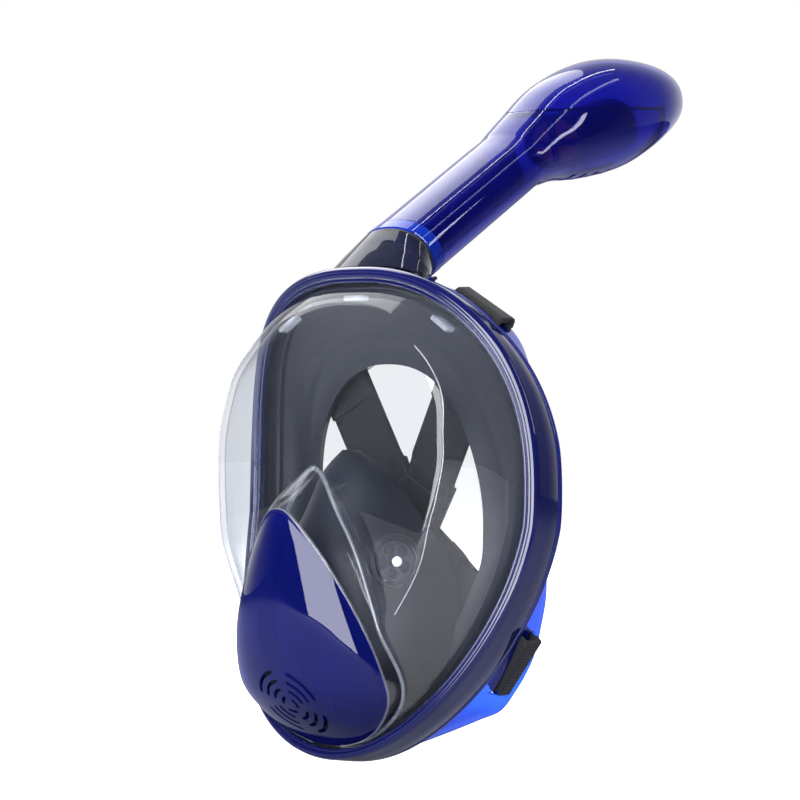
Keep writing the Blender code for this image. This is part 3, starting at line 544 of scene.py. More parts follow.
class Graph:
    """Shader nodes of a material or a world."""

    def __init__(self, owner):
        owner.use_nodes = True
        self.owner = owner
        self.nodes, self.links = owner.node_tree.nodes, owner.node_tree.links
        self.nodes.clear()

    def put(self, socket, value):
        """Link the socket to an output, or set its value."""
        if isinstance(value, bpy.types.NodeSocket):
            self.links.new(value, socket)
        elif socket.type == "RGBA":
            socket.default_value = (*value, 1)
        else:
            socket.default_value = value

    def node(self, kind, **sockets):
        """New node. Its sockets are named with _ for a space."""
        made = self.nodes.new("ShaderNode" + kind)
        for name, value in sockets.items():
            self.put(made.inputs[name.replace("_", " ")], value)
        return made

    def add(self, kind, **sockets):
        """First output of a new node."""
        return self.node(kind, **sockets).outputs[0]

    def finish(self, surface, kind="OutputMaterial"):
        """Join the surface to the output. Returns the material or world."""
        self.node(kind, Surface=surface)
        return self.owner

    def maths(self, operation, *values):
        made = self.node("Math")
        made.operation = operation
        for socket, value in zip(made.inputs, values):
            self.put(socket, value)
        return made.outputs[0]

    def mix(self, share, first, second):
        made = self.node("MixShader")
        for socket, value in zip(made.inputs, (share, first, second)):
            self.put(socket, value)
        return made.outputs[0]

    def noise(self, scale, detail=3.0):
        """Noise in the object's own metres."""
        place = self.node("TexCoord").outputs["Object"]
        return self.add("TexNoise", Vector=place, Scale=scale, Detail=detail)

    def ramp(self, value, *stops):
        """Colour ramp over the value. Each stop is (place, colour)."""
        made = self.node("ValToRGB", Fac=value)
        elements = made.color_ramp.elements
        while len(elements) < len(stops):
            elements.new(0.5)
        for element, (at, colour) in zip(elements, stops):
            element.position = at
            element.color = (*colour, 1)
        return made.outputs["Color"]

    def blotches(self, colour, spread, value):
        """Colour that varies by the spread with the value."""
        dark, light = [tuple(c * share for c in colour) for share in (1 - spread, 1 + spread)]
        return self.ramp(value, (0.3, dark), (0.7, light))

    def bump(self, height, strength, distance, **more):
        """Bump with its distance in millimetres."""
        return self.add("Bump", Height=height, Strength=strength, Distance=distance * MM, **more)


def material(name):
    return Graph(bpy.data.materials.new(name))


def plastic(name, colour, roughness, wave=0.03, grain=0.0, coat=0.0):
    """Opaque moulded plastic with slight flow marks, soft waviness and, if wanted, a fine grain."""
    g = material(name)
    smear = g.maths("MULTIPLY", g.noise(140.0, 4.0), roughness * 0.5)
    normal = g.bump(g.noise(60.0, 1.0), wave, 1.0)
    if grain:
        normal = g.bump(g.noise(2600.0, 2.0), grain, 0.08, Normal=normal)
    shader = g.add("BsdfPrincipled", Base_Color=g.blotches(colour, 0.12, g.noise(35.0)),
                   Roughness=g.maths("ADD", smear, roughness * 0.75), IOR=1.5, Coat_Weight=coat,
                   Coat_Roughness=0.04, Normal=normal)
    return g.finish(shader)


def clear_plastic(name, tint, edge_tint, body, share, roughness=0.03, wave=0.04, reflect=0.05, edge=0.35):
    """See-through plastic: a tinted film, a share of solid body colour and a surface gloss."""
    g = material(name)
    normal = g.bump(g.noise(45.0, 1.0), wave, 1.0)
    facing = g.node("LayerWeight", Blend=0.5, Normal=normal).outputs["Facing"]
    film = g.add("BsdfTransparent", Color=g.ramp(facing, (edge, tint), (0.97, edge_tint)))
    solid = g.add("BsdfDiffuse", Color=g.blotches(body, 0.15, g.noise(30.0)))
    gloss = g.add("BsdfGlossy", Roughness=roughness, Normal=normal)
    strength = g.maths("MULTIPLY_ADD", g.maths("POWER", facing, 4.5), 0.9, reflect)
    return g.finish(g.mix(strength, g.mix(share, film, solid), gloss))


def silicone(name, colour, roughness=0.42, sheen=0.04, spread=0.15):
    """Moulded silicone: satin, with a fine matt grain and soft blotches."""
    g = material(name)
    blotch = g.noise(22.0)
    rough = g.maths("ADD", g.maths("MULTIPLY", blotch, 0.16), roughness - 0.08)
    shader = g.add("BsdfPrincipled", Base_Color=g.blotches(colour, spread, blotch), Roughness=rough, IOR=1.42,
                   Sheen_Weight=sheen, Sheen_Roughness=0.5, Specular_IOR_Level=0.3,
                   Normal=g.bump(g.noise(500.0, 2.0), 0.02, 0.05))
    return g.finish(shader)


def woven(name, colour, cross=1.15, along=1.9):
    """Ribbed elastic webbing. The weave attribute holds millimetres across and along the strap."""
    g = material(name)
    weave = g.node("Attribute")
    weave.attribute_name = "weave"
    across, length = g.node("SeparateXYZ", Vector=weave.outputs["Vector"]).outputs[:2]
    ribs = g.maths("SINE", g.maths("MULTIPLY", length, 2 * math.pi / cross))
    phase = g.maths("MULTIPLY", across, 2 * math.pi / along)
    warp = g.maths("SINE", g.maths("ADD", phase, g.maths("MULTIPLY", ribs, 0.8)))
    height = g.maths("ADD", g.maths("MULTIPLY", g.maths("ADD", ribs, warp), 0.25), 0.5)
    # painted shade and highlight: the weave's grooves are coloured darker and its raised ribs lighter, on top
    # of random fibre tone from the noise
    shade = g.maths("MULTIPLY", g.maths("ADD", height, g.noise(900.0, 4.0)), 0.5)
    dark, light = [tuple(c * share for c in colour) for share in (0.3, 1.5)]
    shader = g.add("BsdfPrincipled", Base_Color=g.ramp(shade, (0.25, dark), (0.75, light)), Roughness=0.88,
                   Sheen_Weight=0.08, Sheen_Roughness=0.4, Normal=g.bump(height, 0.7, 0.35))
    return g.finish(shader)


def steel(name):
    g = material(name)
    tone = g.ramp(g.noise(300.0), (0.3, (0.5, 0.5, 0.52)), (0.7, (0.66, 0.66, 0.68)))
    shader = g.add("BsdfPrincipled", Metallic=1.0, Base_Color=tone, Roughness=0.25)
    return g.finish(shader)


NAVY = plastic("navy_gloss", (0.004, 0.0055, 0.055), 0.06, wave=0.02, coat=0.5)
SEAT_BLUE = plastic("valve_seat_blue", (0.01, 0.02, 0.3), 0.3)
BLACK = plastic("black_plastic", (0.012, 0.012, 0.014), 0.38, grain=0.4)
ORANGE = plastic("float_foam", (0.75, 0.2, 0.03), 0.6, grain=0.8)
STEEL = steel("pin_steel")
LENS = clear_plastic("lens_clear", (0.945, 0.955, 0.975), (0.5, 0.53, 0.6), (0.5, 0.55, 0.62), 0.003,
                     roughness=0.01, wave=0.008, reflect=0.035, edge=0.62)
RING_BLUE = plastic("rear_ring_blue", (0.006, 0.011, 0.12), 0.1, wave=0.02)
CLIP = clear_plastic("clip_clear", (0.9, 0.92, 0.95), (0.7, 0.72, 0.78), (0.6, 0.62, 0.67), 0.26)
WING_BLUE = clear_plastic("frame_blue", (0.15, 0.34, 0.88), (0.03, 0.08, 0.5), (0.006, 0.03, 0.38), 0.16)
TUBE_BLUE = clear_plastic("tube_blue", (0.34, 0.35, 0.80), (0.14, 0.14, 0.5), (0.006, 0.008, 0.22), 0.16,
                          roughness=0.04)
COLLAR_BLUE = clear_plastic("collar_blue", (0.12, 0.24, 0.8), (0.08, 0.15, 0.6), (0.008, 0.04, 0.4), 0.4)
COVER_BLUE = clear_plastic("cover_blue", (0.14, 0.16, 0.62), (0.04, 0.05, 0.3), (0.003, 0.006, 0.10), 0.45,
                           roughness=0.02, wave=0.12)
SMOKE = clear_plastic("smoke_plastic", (0.30, 0.31, 0.40), (0.12, 0.12, 0.2), (0.02, 0.022, 0.05), 0.35)
CLEAR = clear_plastic("clear_plastic", (0.86, 0.88, 0.92), (0.5, 0.53, 0.6), (0.55, 0.58, 0.65), 0.10)
GREY_SILICONE = silicone("skirt_silicone", (0.011, 0.0125, 0.018))
BLACK_SILICONE = silicone("gasket_silicone", (0.012, 0.012, 0.014))
WHITE_SILICONE = silicone("valve_silicone", (0.74, 0.77, 0.80), 0.38, 0.05, 0.04)
WEBBING = woven("webbing_black", (0.007, 0.0075, 0.010))
PATCH_CLOTH = woven("patch_cloth", (0.006, 0.0065, 0.009), cross=0.8, along=0.8)
THREAD = plastic("stitch_thread", (0.03, 0.03, 0.035), 0.8)


def piece(obj, body, look, slot, *nodes):
    """Give the piece its material and body, and let it stand for its CAD nodes. The slot is not used."""
    obj.data.materials.clear()
    obj.data.materials.append(look)
    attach(obj, body)
    if nodes:
        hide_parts(*nodes)


# ---- frame ring ----------------------------------------------------------------------------------

# share of the lip's width in from the ring's outline, and depth: two rails with a groove between them
RAILS = ((0.58, -2.7), (0.47, -2.95), (0.38, -2.85), (0.33, -2.45), (0.28, -2.6), (0.2, -2.35), (0.1, -1.55),
         (0.04, -0.75))


def build_front_frame():
    sections = []
    for theta in ring_angles():
        lip, deep, flare = lip_width(theta), band_depth(theta), band_flare(theta)
        inner_step = [(-lip + 0.4, 2.0), (-lip + 0.35, -0.7), (-lip + 0.6, -1.35), (-lip + 1.1, -1.6),
                      (-lip + 1.6, -1.45), (-lip + 1.85, -1.1), (-lip + 2.2, -1.75)]
        rails = [(-lip * out, back) for out, back in RAILS]
        band = [(0.0, 0.1), (flare * 0.1, deep * 0.12), (flare * 0.5, deep * 0.5), (flare * 0.95, deep - 0.6),
                (flare * 0.97 - 0.25, deep - 0.15), (flare - 0.9, deep), (flare - 2.0, deep),
                (flare - 2.2, deep - 0.4), (-2.5, 2.4), (-2.9, 2.0)]
        profile = inner_step + rails + band
        sections.append([on_ring(theta, out, back) for out, back in profile])
    piece(loop_sweep("frame_ring", sections, sharp=60), "mask", NAVY, "navy_plastic", "front_frame")


# ---- rear frame with its lugs and wings ----------------------------------------------------------

def station_at(stations, degrees):
    """Smooth value between the stations of a strap plate: distance out and reach."""
    rows = np.array(stations, float)
    return spline(rows[:, 1:], rows[:, 0], np.gradient(rows[:, 1:], rows[:, 0], axis=0), degrees)


def plate_edge(stations, theta, inset=0.0):
    """Point on a strap plate, a distance in front of its rear edge."""
    angles, outs, reaches = zip(*stations)
    degrees = math.degrees(theta)
    reach = np.interp(degrees, angles, reaches)
    out = np.interp(degrees, angles, outs)
    out += (band_flare(theta) - out) * inset / max(reach, 1.0)
    return np.array(on_ring(theta, out, band_depth(theta) + reach - inset))


def strap_plate(name, side, stations):
    """Plate that runs back from the rear ring, its rear edge a smooth curve."""
    outer, inner = [], []
    for degrees in np.linspace(stations[0][0], stations[-1][0], 61):
        theta = math.radians(degrees)
        deep, flare = band_depth(theta), band_flare(theta)
        out, reach = station_at(stations, degrees)
        root = np.array(on_ring(theta, flare - 0.2, max(SKIRT_FLANGE[1] + GAP, deep + GAP) + 0.7))
        edge = np.array(on_ring(theta, out, deep + max(reach, 0.2)))
        edge[1] = max(edge[1], root[1] + 1.0)
        _, _, out_x, out_z = ring_point(theta)
        inward = -PLATE_THICK * np.array([out_x, 0, out_z])
        spans = [root + (edge - root) * t for t in (0, 0.25, 0.5, 0.75, 1)]
        outer.append(spans)
        inner.append([point + inward for point in spans])
    flip = np.array([side, 1, 1])
    return thick_sheet(name, np.array(outer) * flip, np.array(inner) * flip)


def bar_frame(stations, bar, side):
    """Middle of the bar that a strap wraps round, and the frame of its slots (X towards the ring)."""
    first, last, inset = bar
    a, b = [plate_edge(stations, math.radians(angle), inset) * (side, 1, 1) for angle in (first, last)]
    middle = (a + b) / 2
    along = Vector(b - a).normalized()
    outward = Vector((middle[0], 0, middle[2] - RING_WIDEST))
    outward = (outward - along * outward.dot(along)).normalized()
    forward = along.cross(outward)
    if forward.y > 0:
        forward = -forward
    turn = Matrix((forward, along.cross(forward), along)).transposed().to_4x4()
    return middle, MASK @ Matrix.Translation(middle) @ turn


def build_rear_frame():
    sections = []
    for theta in ring_angles():
        deep, flare = band_depth(theta), band_flare(theta)
        web = min(-2.8, flare - 2.5)
        front = SKIRT_FLANGE[1] + GAP
        flange = max(front, deep + GAP)
        inner = 0.6 - lip_width(theta)
        profile = [(inner, front), (web, front), (web, flange), (flare, flange), (flare, flange + 2.5),
                   (inner, flange + 2.5)]
        sections.append([on_ring(theta, out, back) for out, back in profile])
    ring = bevel(loop_sweep("rear_ring", sections), 0.45, 2, 50)
    piece(ring, "mask", RING_BLUE, "blue_plastic", "rear_frame")
    half = STRAP_WIDTH / 2 + 1.0
    for side, tag in SIDES:
        for name, stations, bar, spans in (("lug", UPPER_LUG, UPPER_BAR, UPPER_SLOTS),
                                           ("wing", LOWER_WING, LOWER_BAR, LOWER_SLOTS)):
            plate = strap_plate(name + "_" + tag, side, stations)
            _, place = bar_frame(stations, bar, side)
            cut(plate, [box("slot", (low, -9, -half), (high, 9, half), place) for low, high in spans])
            bevel(plate, 0.45, 3, 50)
            piece(plate, "mask", WING_BLUE, "blue_plastic")


# ---- lens, its rim and the cover -----------------------------------------------------------------

def lip_row(inset, back):
    """Ring of points at a distance in from the frame's lip."""
    return [on_ring(t, -lip_width(t) - inset, back) for t in ring_angles()]


def build_lens():
    front, rear = LENS_FLANGE
    outer = [lip_row(LENS_WALL + 2, rear)]
    outer += [[on_ring(t, LENS_EDGE, back) for t in ring_angles()] for back in (rear, front)]
    outer += [lip_row(-0.6, front)] + lens_rings(0)
    inner = [lip_row(LENS_WALL, 12)] + lens_rings(LENS_WALL)
    made = loft("lens_shell", outer)
    cut(made, [beak_solid("beak", 0, 1.5)], "UNION")
    cut(made, [loft("hollow", inner), beak_solid("beak_hollow", LENS_WALL, 3.5), cover_zone("zone", 0.0)])
    piece(made, "mask", LENS, "clear_lens", "lens")
    rim = bead("lens_rim", arch_line(0.9), 1.05, 12)
    piece(rim, "mask", CLEAR, "clear_lens")


def dome_depth():
    """Function for the depth of the lens's front surface at a place (x, z), or None outside it."""
    rings = lens_rings(0)
    count = len(rings[0])
    verts = [Vector((x, y, z)) for ring in rings for x, y, z in ring]
    tree = BVHTree.FromPolygons(verts, grid_faces(len(rings), count))

    def at(x, z):
        hit = tree.ray_cast(Vector((x, -200, z)), Vector((0, 1, 0)))[0]
        return None if hit is None else hit.y
    return at


def fold_line():
    """Line where the beak's surface leaves the lens's front surface, from foot to foot."""
    at = dome_depth()
    half_line = []
    for z, half, ridge, edge in smooth_stations(BEAK, 0.5):
        arc = arc_points(half, ridge, edge, BEAK_POWER, 241)
        last = None
        for x, y in sorted(point for point in arc if point[0] >= 0):
            dome = at(x, z)
            if dome is None or y > dome:
                break
            last = (x, y, z)
        if last:
            half_line.append(last)
    half_line.sort(key=lambda p: p[2])
    _, y, z = half_line[-1]
    half_line.append((0.0, y, z + 0.3))
    return np.array([(-x, y, z) for x, y, z in half_line] + half_line[-2::-1])


def evened(line, count):
    """Line resampled to even steps and smoothed a little."""
    for _ in range(3):
        line = resampled(line, count)
        line[1:-1] = (line[:-2] + line[1:-1] * 2 + line[2:]) / 4
    return line


def build_lens_edges():
    """Edges of the lens: a clear bead on the fold round the beak, and on the corner down each side a whitish
    bead that is a painted highlight line.
    """
    piece(bead("beak_fold", evened(fold_line(), 110), 1.0, 12), "mask", CLEAR, "clear_lens")
    corner = lens_rings(0)[CORNER_RING]
    low, high = CORNER_SPAN
    for side, tag in SIDES:
        line = [p for p, theta in zip(corner, ring_angles()) if low < side * from_top(theta) < high]
        line.sort(key=lambda p: p[2])
        # painted highlight: a thin whitish bead along the lens's corner stands in for the bright line that
        # light draws there
        piece(bead("lens_corner_" + tag, evened(line, 70) + (0, 0.1, 0), 0.3, 10), "mask", CLIP,
              "clear_lens")


# inner and outer radius, count, filled share and first angle of the grille's slots
GRILLE = ((17.4, 19.4, 4, 0.7, 12), (12.7, 14.5, 4, 0.72, 10), (8.2, 9.9, 4, 0.68, 10),
          (3.4, 5.2, 3, 0.66, 8))
GRILLE_PLACE = axis_place((0, -36, -85.5), (0, -0.92, -0.40))


def build_cover():
    made = beak_solid("cover_shell", 0, 1.5)
    cut(made, [beak_solid("inside", LENS_WALL, 6.0)])
    cut(made, [cover_zone("zone", -GAP)], "INTERSECT")
    cut(made, [arc_slots("slots", GRILLE, 13, GRILLE_PLACE)])
    piece(made, "mask", COVER_BLUE, "cover_plastic", "nose_cover")
    seam = bead("cover_seam", arch_line(2.2) + (0, -1.2, 0), 0.7, 10)
    piece(seam, "mask", COVER_BLUE, "cover_plastic")


# ---- skirt and pocket ----------------------------------------------------------------------------

JOIN_FROM, JOIN_SPAN, JOIN_LOWEST = 92, 30, -88.0   # where the skirt's edge goes over to the pocket


def skirt_edge(theta):
    """Edge of the skirt: the face opening's, drawn in to the mouth pocket towards the chin."""
    base = face_point(theta)
    share = ease((abs(from_top(theta)) - JOIN_FROM) / JOIN_SPAN)
    rows = np.array(POCKET, float)[::-1]
    z = max(base[2], JOIN_LOWEST)
    half, edge = [np.interp(z, rows[:, 0], rows[:, k]) for k in (1, 3)]
    target = np.array((math.copysign(min(abs(base[0]), half - 0.9), base[0]), edge - 3.0, z))
    return base + (target - base) * share


def build_skirt():
    sections = []
    steps = np.linspace(0, 1, 26)
    for theta in ring_angles():
        inset = -lip_width(theta) - 1.6
        root = np.array(on_ring(theta, inset, SKIRT_FLANGE[0]))
        knee = np.array(on_ring(theta, inset - 5, band_depth(theta) + 6))
        edge = skirt_edge(theta)
        _, _, out_x, out_z = ring_point(theta)
        shift = np.array((out_x, 0.8, out_z)) * SKIRT_WALL / 1.28
        back_root = np.array(on_ring(theta, inset + 1.6, SKIRT_FLANGE[1]))
        normal = np.array((-out_x * 0.5, -1.0, -out_z * 0.5)) / 1.12
        front, back = [], []
        for t in steps:
            ridge = sum(math.exp(-((t - at) / 0.035) ** 2) * high for at, high in RIDGES)
            rim = 0.7 * math.exp(-((t - 0.985) / 0.03) ** 2)
            front.append(bezier(root, knee, edge, t) + normal * (ridge + rim))
            back.append(bezier(back_root, knee + shift, edge + (0, SKIRT_WALL, 0), t) - normal * rim)
        flange = [np.array(on_ring(theta, LENS_EDGE - 0.6, y)) for y in reversed(SKIRT_FLANGE)]
        sections.append(front + back[::-1] + flange)
    piece(loop_sweep("skirt", sections, sharp=50), "mask", GREY_SILICONE, "dark_silicone", "face_skirt")


POCKET_CHIN = ((-94, 9, 15, 32), (-96, 3, 26, 32))      # rows that close the pocket under the chin
RIDGES = ((0.16, 0.9), (0.3, 0.6), (0.78, 0.7))


def pocket_rows(wall):
    rows = []
    for z, half, ridge, edge in smooth_stations(POCKET + POCKET_CHIN, 0.8):
        rows.append([(x, y, z) for x, y in arc_points(half - wall, ridge + wall, edge, 2.2, 61)])
    return rows


SIDE_VALVES = {tag: axis_place((side * 36.5, -6.5, -17), (side * 0.93, -0.37, 0)) for side, tag in SIDES}
CHIN_VALVE = axis_place((0, -35.2, -88), (0, -0.77, -0.64))
CHIN_SEAT = CHIN_VALVE @ Matrix.Translation((0, 0, -8.6))


def build_pocket():
    made = thick_sheet("mouth_pocket", pocket_rows(0), pocket_rows(POCKET_WALL))
    holes = [rod("hole", 10.4, -9, 9, place) for place in SIDE_VALVES.values()]
    holes.append(rod("hole", 11, -26, 5, CHIN_VALVE))
    cut(made, holes, sharp=50)
    piece(made, "mask", GREY_SILICONE, "dark_silicone", "orinasal_pocket")
    for tag, place in SIDE_VALVES.items():
        lip = [(10.5, -1.0), (10.5, 0.6), (11.2, 1.2), (12.6, 1.0), (13.2, 0.0), (12.8, -1.0)]
        piece(turned_ring("valve_lip_" + tag, lip, place, 60), "mask", GREY_SILICONE, "dark_silicone")


def valve_seat(name, radius, height, slots, hub, place, look, slot):
    """Round seat with a rim, spokes between its slots and a raised hub."""
    profile = [(0, -height), (radius, -height), (radius, -0.5), (radius - 0.5, 0), (radius - 1.4, 0),
               (radius - 1.7, -0.5), (hub + 0.9, -0.5), (hub + 0.6, 0), (0, 0)]
    made = turned(name, profile, place)
    cut(made, [arc_slots("slots", slots, height + 3, place),
               rod("hole", 1.6, -height - 3, 3, place, 24)])
    piece(made, "mask", look, slot, name.replace("fine_", ""))


def valve_flap(name, radius, seat, travel, side, place, body):
    """Thin disc with a rolled rim and a grey skin, and a stem with a knob behind the seat."""
    base, knob = 0.2, -seat - travel
    profile = [(0, base + 1.1), (1.6, base + 1.1), (2.6, base + 0.7), (radius * 0.8, base + 0.55),
               (radius - 0.8, base + 0.9), (radius - 0.1, base + 0.75), (radius, base + 0.3),
               (radius - 0.3, base), (1.2, base), (1.2, knob - 0.2), (2.2, knob - 0.5), (2.45, knob - 1.1),
               (2.2, knob - 1.9), (1.4, knob - 2.6), (0.6, knob - 2.8), (0, knob - 2.8)]
    skin = [(2.7, base + 0.85), (radius - 0.2, base + 1.15), (radius + 0.15, base + 0.3),
            (radius - 0.3, base - 0.1), (1.4, base - 0.1)]
    if side < 0:
        profile, skin = [[(r, -seat - h) for r, h in line] for line in (profile, skin)]
    node = name.replace("fine_", "")
    piece(turned(name, profile, place), body, WHITE_SILICONE, "white_silicone", node)
    piece(turned_ring(name + "_skin", skin, place, 48), body, GREY_SILICONE, "dark_silicone")


def build_valves():
    for tag, place in SIDE_VALVES.items():
        valve_seat("fine_orinasal_valve_seat_" + tag, 10, 2.4, ((3.6, 8.4, 5, 0.74, 0),), 2.4, place, SMOKE,
                   "smoke_plastic")
        valve_flap("fine_orinasal_valve_flap_" + tag, 9, 2.4, 1.5, -1, place, "orinasal_flap_" + tag)
    valve_seat("fine_chin_valve_seat", 15.5, 2.6, ((4.2, 12.4, 5, 0.8, 0),), 2.6, CHIN_SEAT, SEAT_BLUE,
               "black_plastic")
    valve_flap("fine_chin_valve_flap", 13.4, 2.6, 1.5, 1, CHIN_SEAT, "chin_flap")


def build_clips():
    for name, angle in CLIPS:
        theta = math.radians(angle)
        _, _, out_x, out_z = ring_point(theta)
        turn = Matrix.Rotation(math.atan2(out_x, out_z), 4, "Y")
        place = MASK @ Matrix.Translation(on_ring(theta, -LIP_SIDE - LENS_WALL - 4.6, 0)) @ turn
        made = bevel(box("fine_" + name, (-6, -2.0, -1.3), (6, 3.6, 1.3), place), 0.5, 3)
        piece(made, "mask", CLIP, "clear_lens", name)


# ---- snorkel -------------------------------------------------------------------------------------

def cap_zone(name, offset):
    return prism(name, [(y + offset, z + offset) for y, z in CAP_LINE], 60.0, MASK)


def leaning(y, z, tilt):
    """Frame on the centre plane with its Z tilted by degrees about X."""
    return MASK @ Matrix.Translation((0, y, z)) @ Matrix.Rotation(math.radians(tilt), 4, "X")


def build_tube():
    made = loft("tube_shell", tube_rows(0, COLLAR[1] + GAP, 3))
    cut(made, [loft("bore", tube_rows(TUBE_WALL, -5, 4)), cap_zone("zone", 0.0)])
    cut(made, [box("vent", (-14, -1.6, -30), (14, 1.6, 0), leaning(y, *VENT_LEAN)) for y in VENTS])
    piece(made, "snorkel", TUBE_BLUE, "blue_plastic", "snorkel_tube")
    cap = loft("cap_shell", tube_rows(0, 20, 3))
    cut(cap, [loft("hollow", tube_rows(TUBE_WALL, 10, 4))])
    cut(cap, [cap_zone("zone", 0.35)], "INTERSECT")
    piece(cap, "snorkel", TUBE_BLUE, "blue_plastic", "snorkel_top_cap")
    lip = loft("cap_lip", tube_rows(0.7, 20, 3))
    cut(lip, [loft("hollow", tube_rows(TUBE_WALL - 0.7, 10, 4)), cap_zone("above", 0.9)])
    cut(lip, [cap_zone("zone", -0.9)], "INTERSECT")
    piece(lip, "snorkel", NAVY, "blue_plastic")


def ring_of_ovals(name, outer, inner, low, high, place, soft):
    """Oval ring with its bore along Z. Soft takes off its outer edges."""
    (a, b), (c, d) = outer, inner
    profile = ((a - soft, b - soft, low), (a, b, low + soft), (a, b, high - soft), (a - soft, b - soft, high),
               (c, d, high), (c, d, low))
    rows = [oval(*row) for row in profile]
    return loop_sweep(name, list(zip(*rows)), place)


def build_socket():
    stations = np.array([(*front, *rear, half) for front, rear, half in SOCKET_ROWS], float)
    at = np.arange(len(stations))
    rows = []
    for u in np.linspace(0, len(stations) - 1, 26):
        ya, za, yb, zb, half = [np.interp(u, at, column) for column in stations.T]
        rows.append(oval_between((ya, za), (yb, zb), half))
    a, b = TUBE_BORE[0] - 0.4, TUBE_BORE[1] - 0.4
    rows += [tube_section(s, a, b) for s in (0.01, SPIGOT_LENGTH - 1)]
    rows.append(tube_section(SPIGOT_LENGTH, a - 1, b - 1))
    made = loft("socket_shell", rows)
    passage = (((13.2, 112), (21.8, 112), 23), ((13.2, 120.8), (22.8, 118.4), 24),
               ((9.6, 125.4), (25.4, 118.6), 25.5), ((15.2, 132.6), (29.6, 118.2), 22.5))
    bore = [oval_between(*row) for row in passage]
    bore += [tube_section(s, a - 2.2, b - 2.2) for s in (0.0, SPIGOT_LENGTH + 4)]
    cut(made, [loft("bore", bore)])
    cut(made, [box("catch", (-5.5, TUBE_B - 6, -7.0), (5.5, TUBE_B + 0.8, -4.4), SNORKEL)], "UNION")
    piece(made, "mask", SMOKE, "smoke_plastic", "snorkel_socket")
    gasket = ring_of_ovals("fine_gasket", (TUBE_A - 0.2, TUBE_B - 0.2), TUBE_BORE, GAP, COLLAR[0] - GAP,
                           SNORKEL, 0.3)
    piece(gasket, "mask", BLACK_SILICONE, "dark_silicone", "socket_gasket")


PIN_Y, PIN_Z = TUBE_B + 3.0, 5.6


def build_latch():
    collar = ring_of_ovals("fine_collar", (TUBE_A + 0.2, TUBE_B + 0.2), TUBE_BORE, COLLAR[0], COLLAR[1],
                           SNORKEL, 0.4)
    ears = []
    for side in (-1, 1):
        low, high = sorted((side * 7.0, side * 9.2))
        ears.append(box("ear", (low, TUBE_B - 1.0, 2.8), (high, TUBE_B + 5.0, 8.4), SNORKEL))
    cut(collar, ears, "UNION")
    cross = SNORKEL @ Matrix.Translation((0, PIN_Y, PIN_Z))
    turn = cross @ Matrix.Rotation(math.radians(90), 4, "Y")
    cut(collar, [rod("hole", 1.3, -12, 12, turn, 24)])
    piece(collar, "snorkel", COLLAR_BLUE, "blue_plastic", "tube_collar")
    outline = ((0, -8.9), (0.7, -8.9), (1.0, -8.6), (1.0, 8.6), (0.7, 8.9), (0, 8.9))
    pin = turned("fine_pin", outline, turn, 24)
    piece(pin, "snorkel", STEEL, "pin_steel", "latch_pin")
    outline = [(2.0, 8.5), (2.3, 2.4), (2.0, -17.0), (-1.9, -17.0), (-1.9, -13.8), (0.2, -13.2), (0.0, -3.4),
               (-1.9, -2.4), (-1.9, 2.4), (0.2, 3.6), (0.4, 8.5)]
    lever = prism("lever", outline, 6.6, cross)
    grooves = [box("groove", (-8, 1.75, z), (8, 4, z + 0.8), cross) for z in (3.6, 5.2, 6.8)]
    cut(lever, [rod("hole", 1.3, -12, 12, turn, 24)] + grooves)
    bevel(lever, 0.35, 2, 50)
    piece(lever, "release_latch", NAVY, "navy_plastic", "release_latch")


def build_float():
    place = leaning(*FLOAT_LEAN)
    cage = ring_of_ovals("fine_cage", (19.5, 15), (18, 13.5), -2, 46, place, 0.3)
    cut(cage, [box("floor", (-18.7, -1.5, -2.01), (18.7, 1.5, -0.5), place),
               box("floor", (-1.5, -14.2, -1.99), (1.5, 14.2, -0.51), place)], "UNION")
    piece(cage, "snorkel", SMOKE, "smoke_plastic", "float_cage")
    body = loft("fine_float", [oval(*row) for row in ((14.5, 10.5, 0.5), (16, 11.7, 1.2), (17, 12.6, 3),
                                                      (17, 12.6, 25), (16.2, 12, 27), (15, 11, 28))],
                place, 50)
    piece(body, "float", ORANGE, "float_plastic", "float")
    seal = loft("fine_seal", [oval(*row) for row in ((14.9, 10.9, 28.3), (15.2, 11.2, 28.7),
                                                     (15.2, 11.2, 29.9), (14.9, 10.9, 30.3))], place)
    piece(seal, "float", BLACK_SILICONE, "dark_silicone", "float_seal")
    seat = ring_of_ovals("fine_float_seat", (17.6, 13.1), (11, 7), 42.5, 45, place, 0.4)
    piece(seat, "snorkel", WHITE_SILICONE, "white_silicone", "float_valve_seat")
    for side, tag in SIDES:
        low, high = sorted((side * 9.5, side * 10.7))
        made = bevel(box("fine_divider_" + tag, (low, -11.0, 22), (high, 11.0, 94), SNORKEL), 0.3)
        piece(made, "snorkel", SMOKE, "smoke_plastic", "channel_divider_" + tag)


# ---- straps --------------------------------------------------------------------------------------

def rounded(points, radius, steps=6):
    """Path through the points with its corners rounded."""
    points = [np.array(p, float) for p in points]
    path = [points[0]]
    for before, corner, after in zip(points, points[1:], points[2:]):
        a, b = before - corner, after - corner
        reach = min(radius, np.linalg.norm(a) * 0.45, np.linalg.norm(b) * 0.45)
        start, end = corner + a / np.linalg.norm(a) * reach, corner + b / np.linalg.norm(b) * reach
        path += [bezier(start, corner, end, t) for t in np.linspace(0, 1, steps)]
    return np.array(path + [points[-1]])


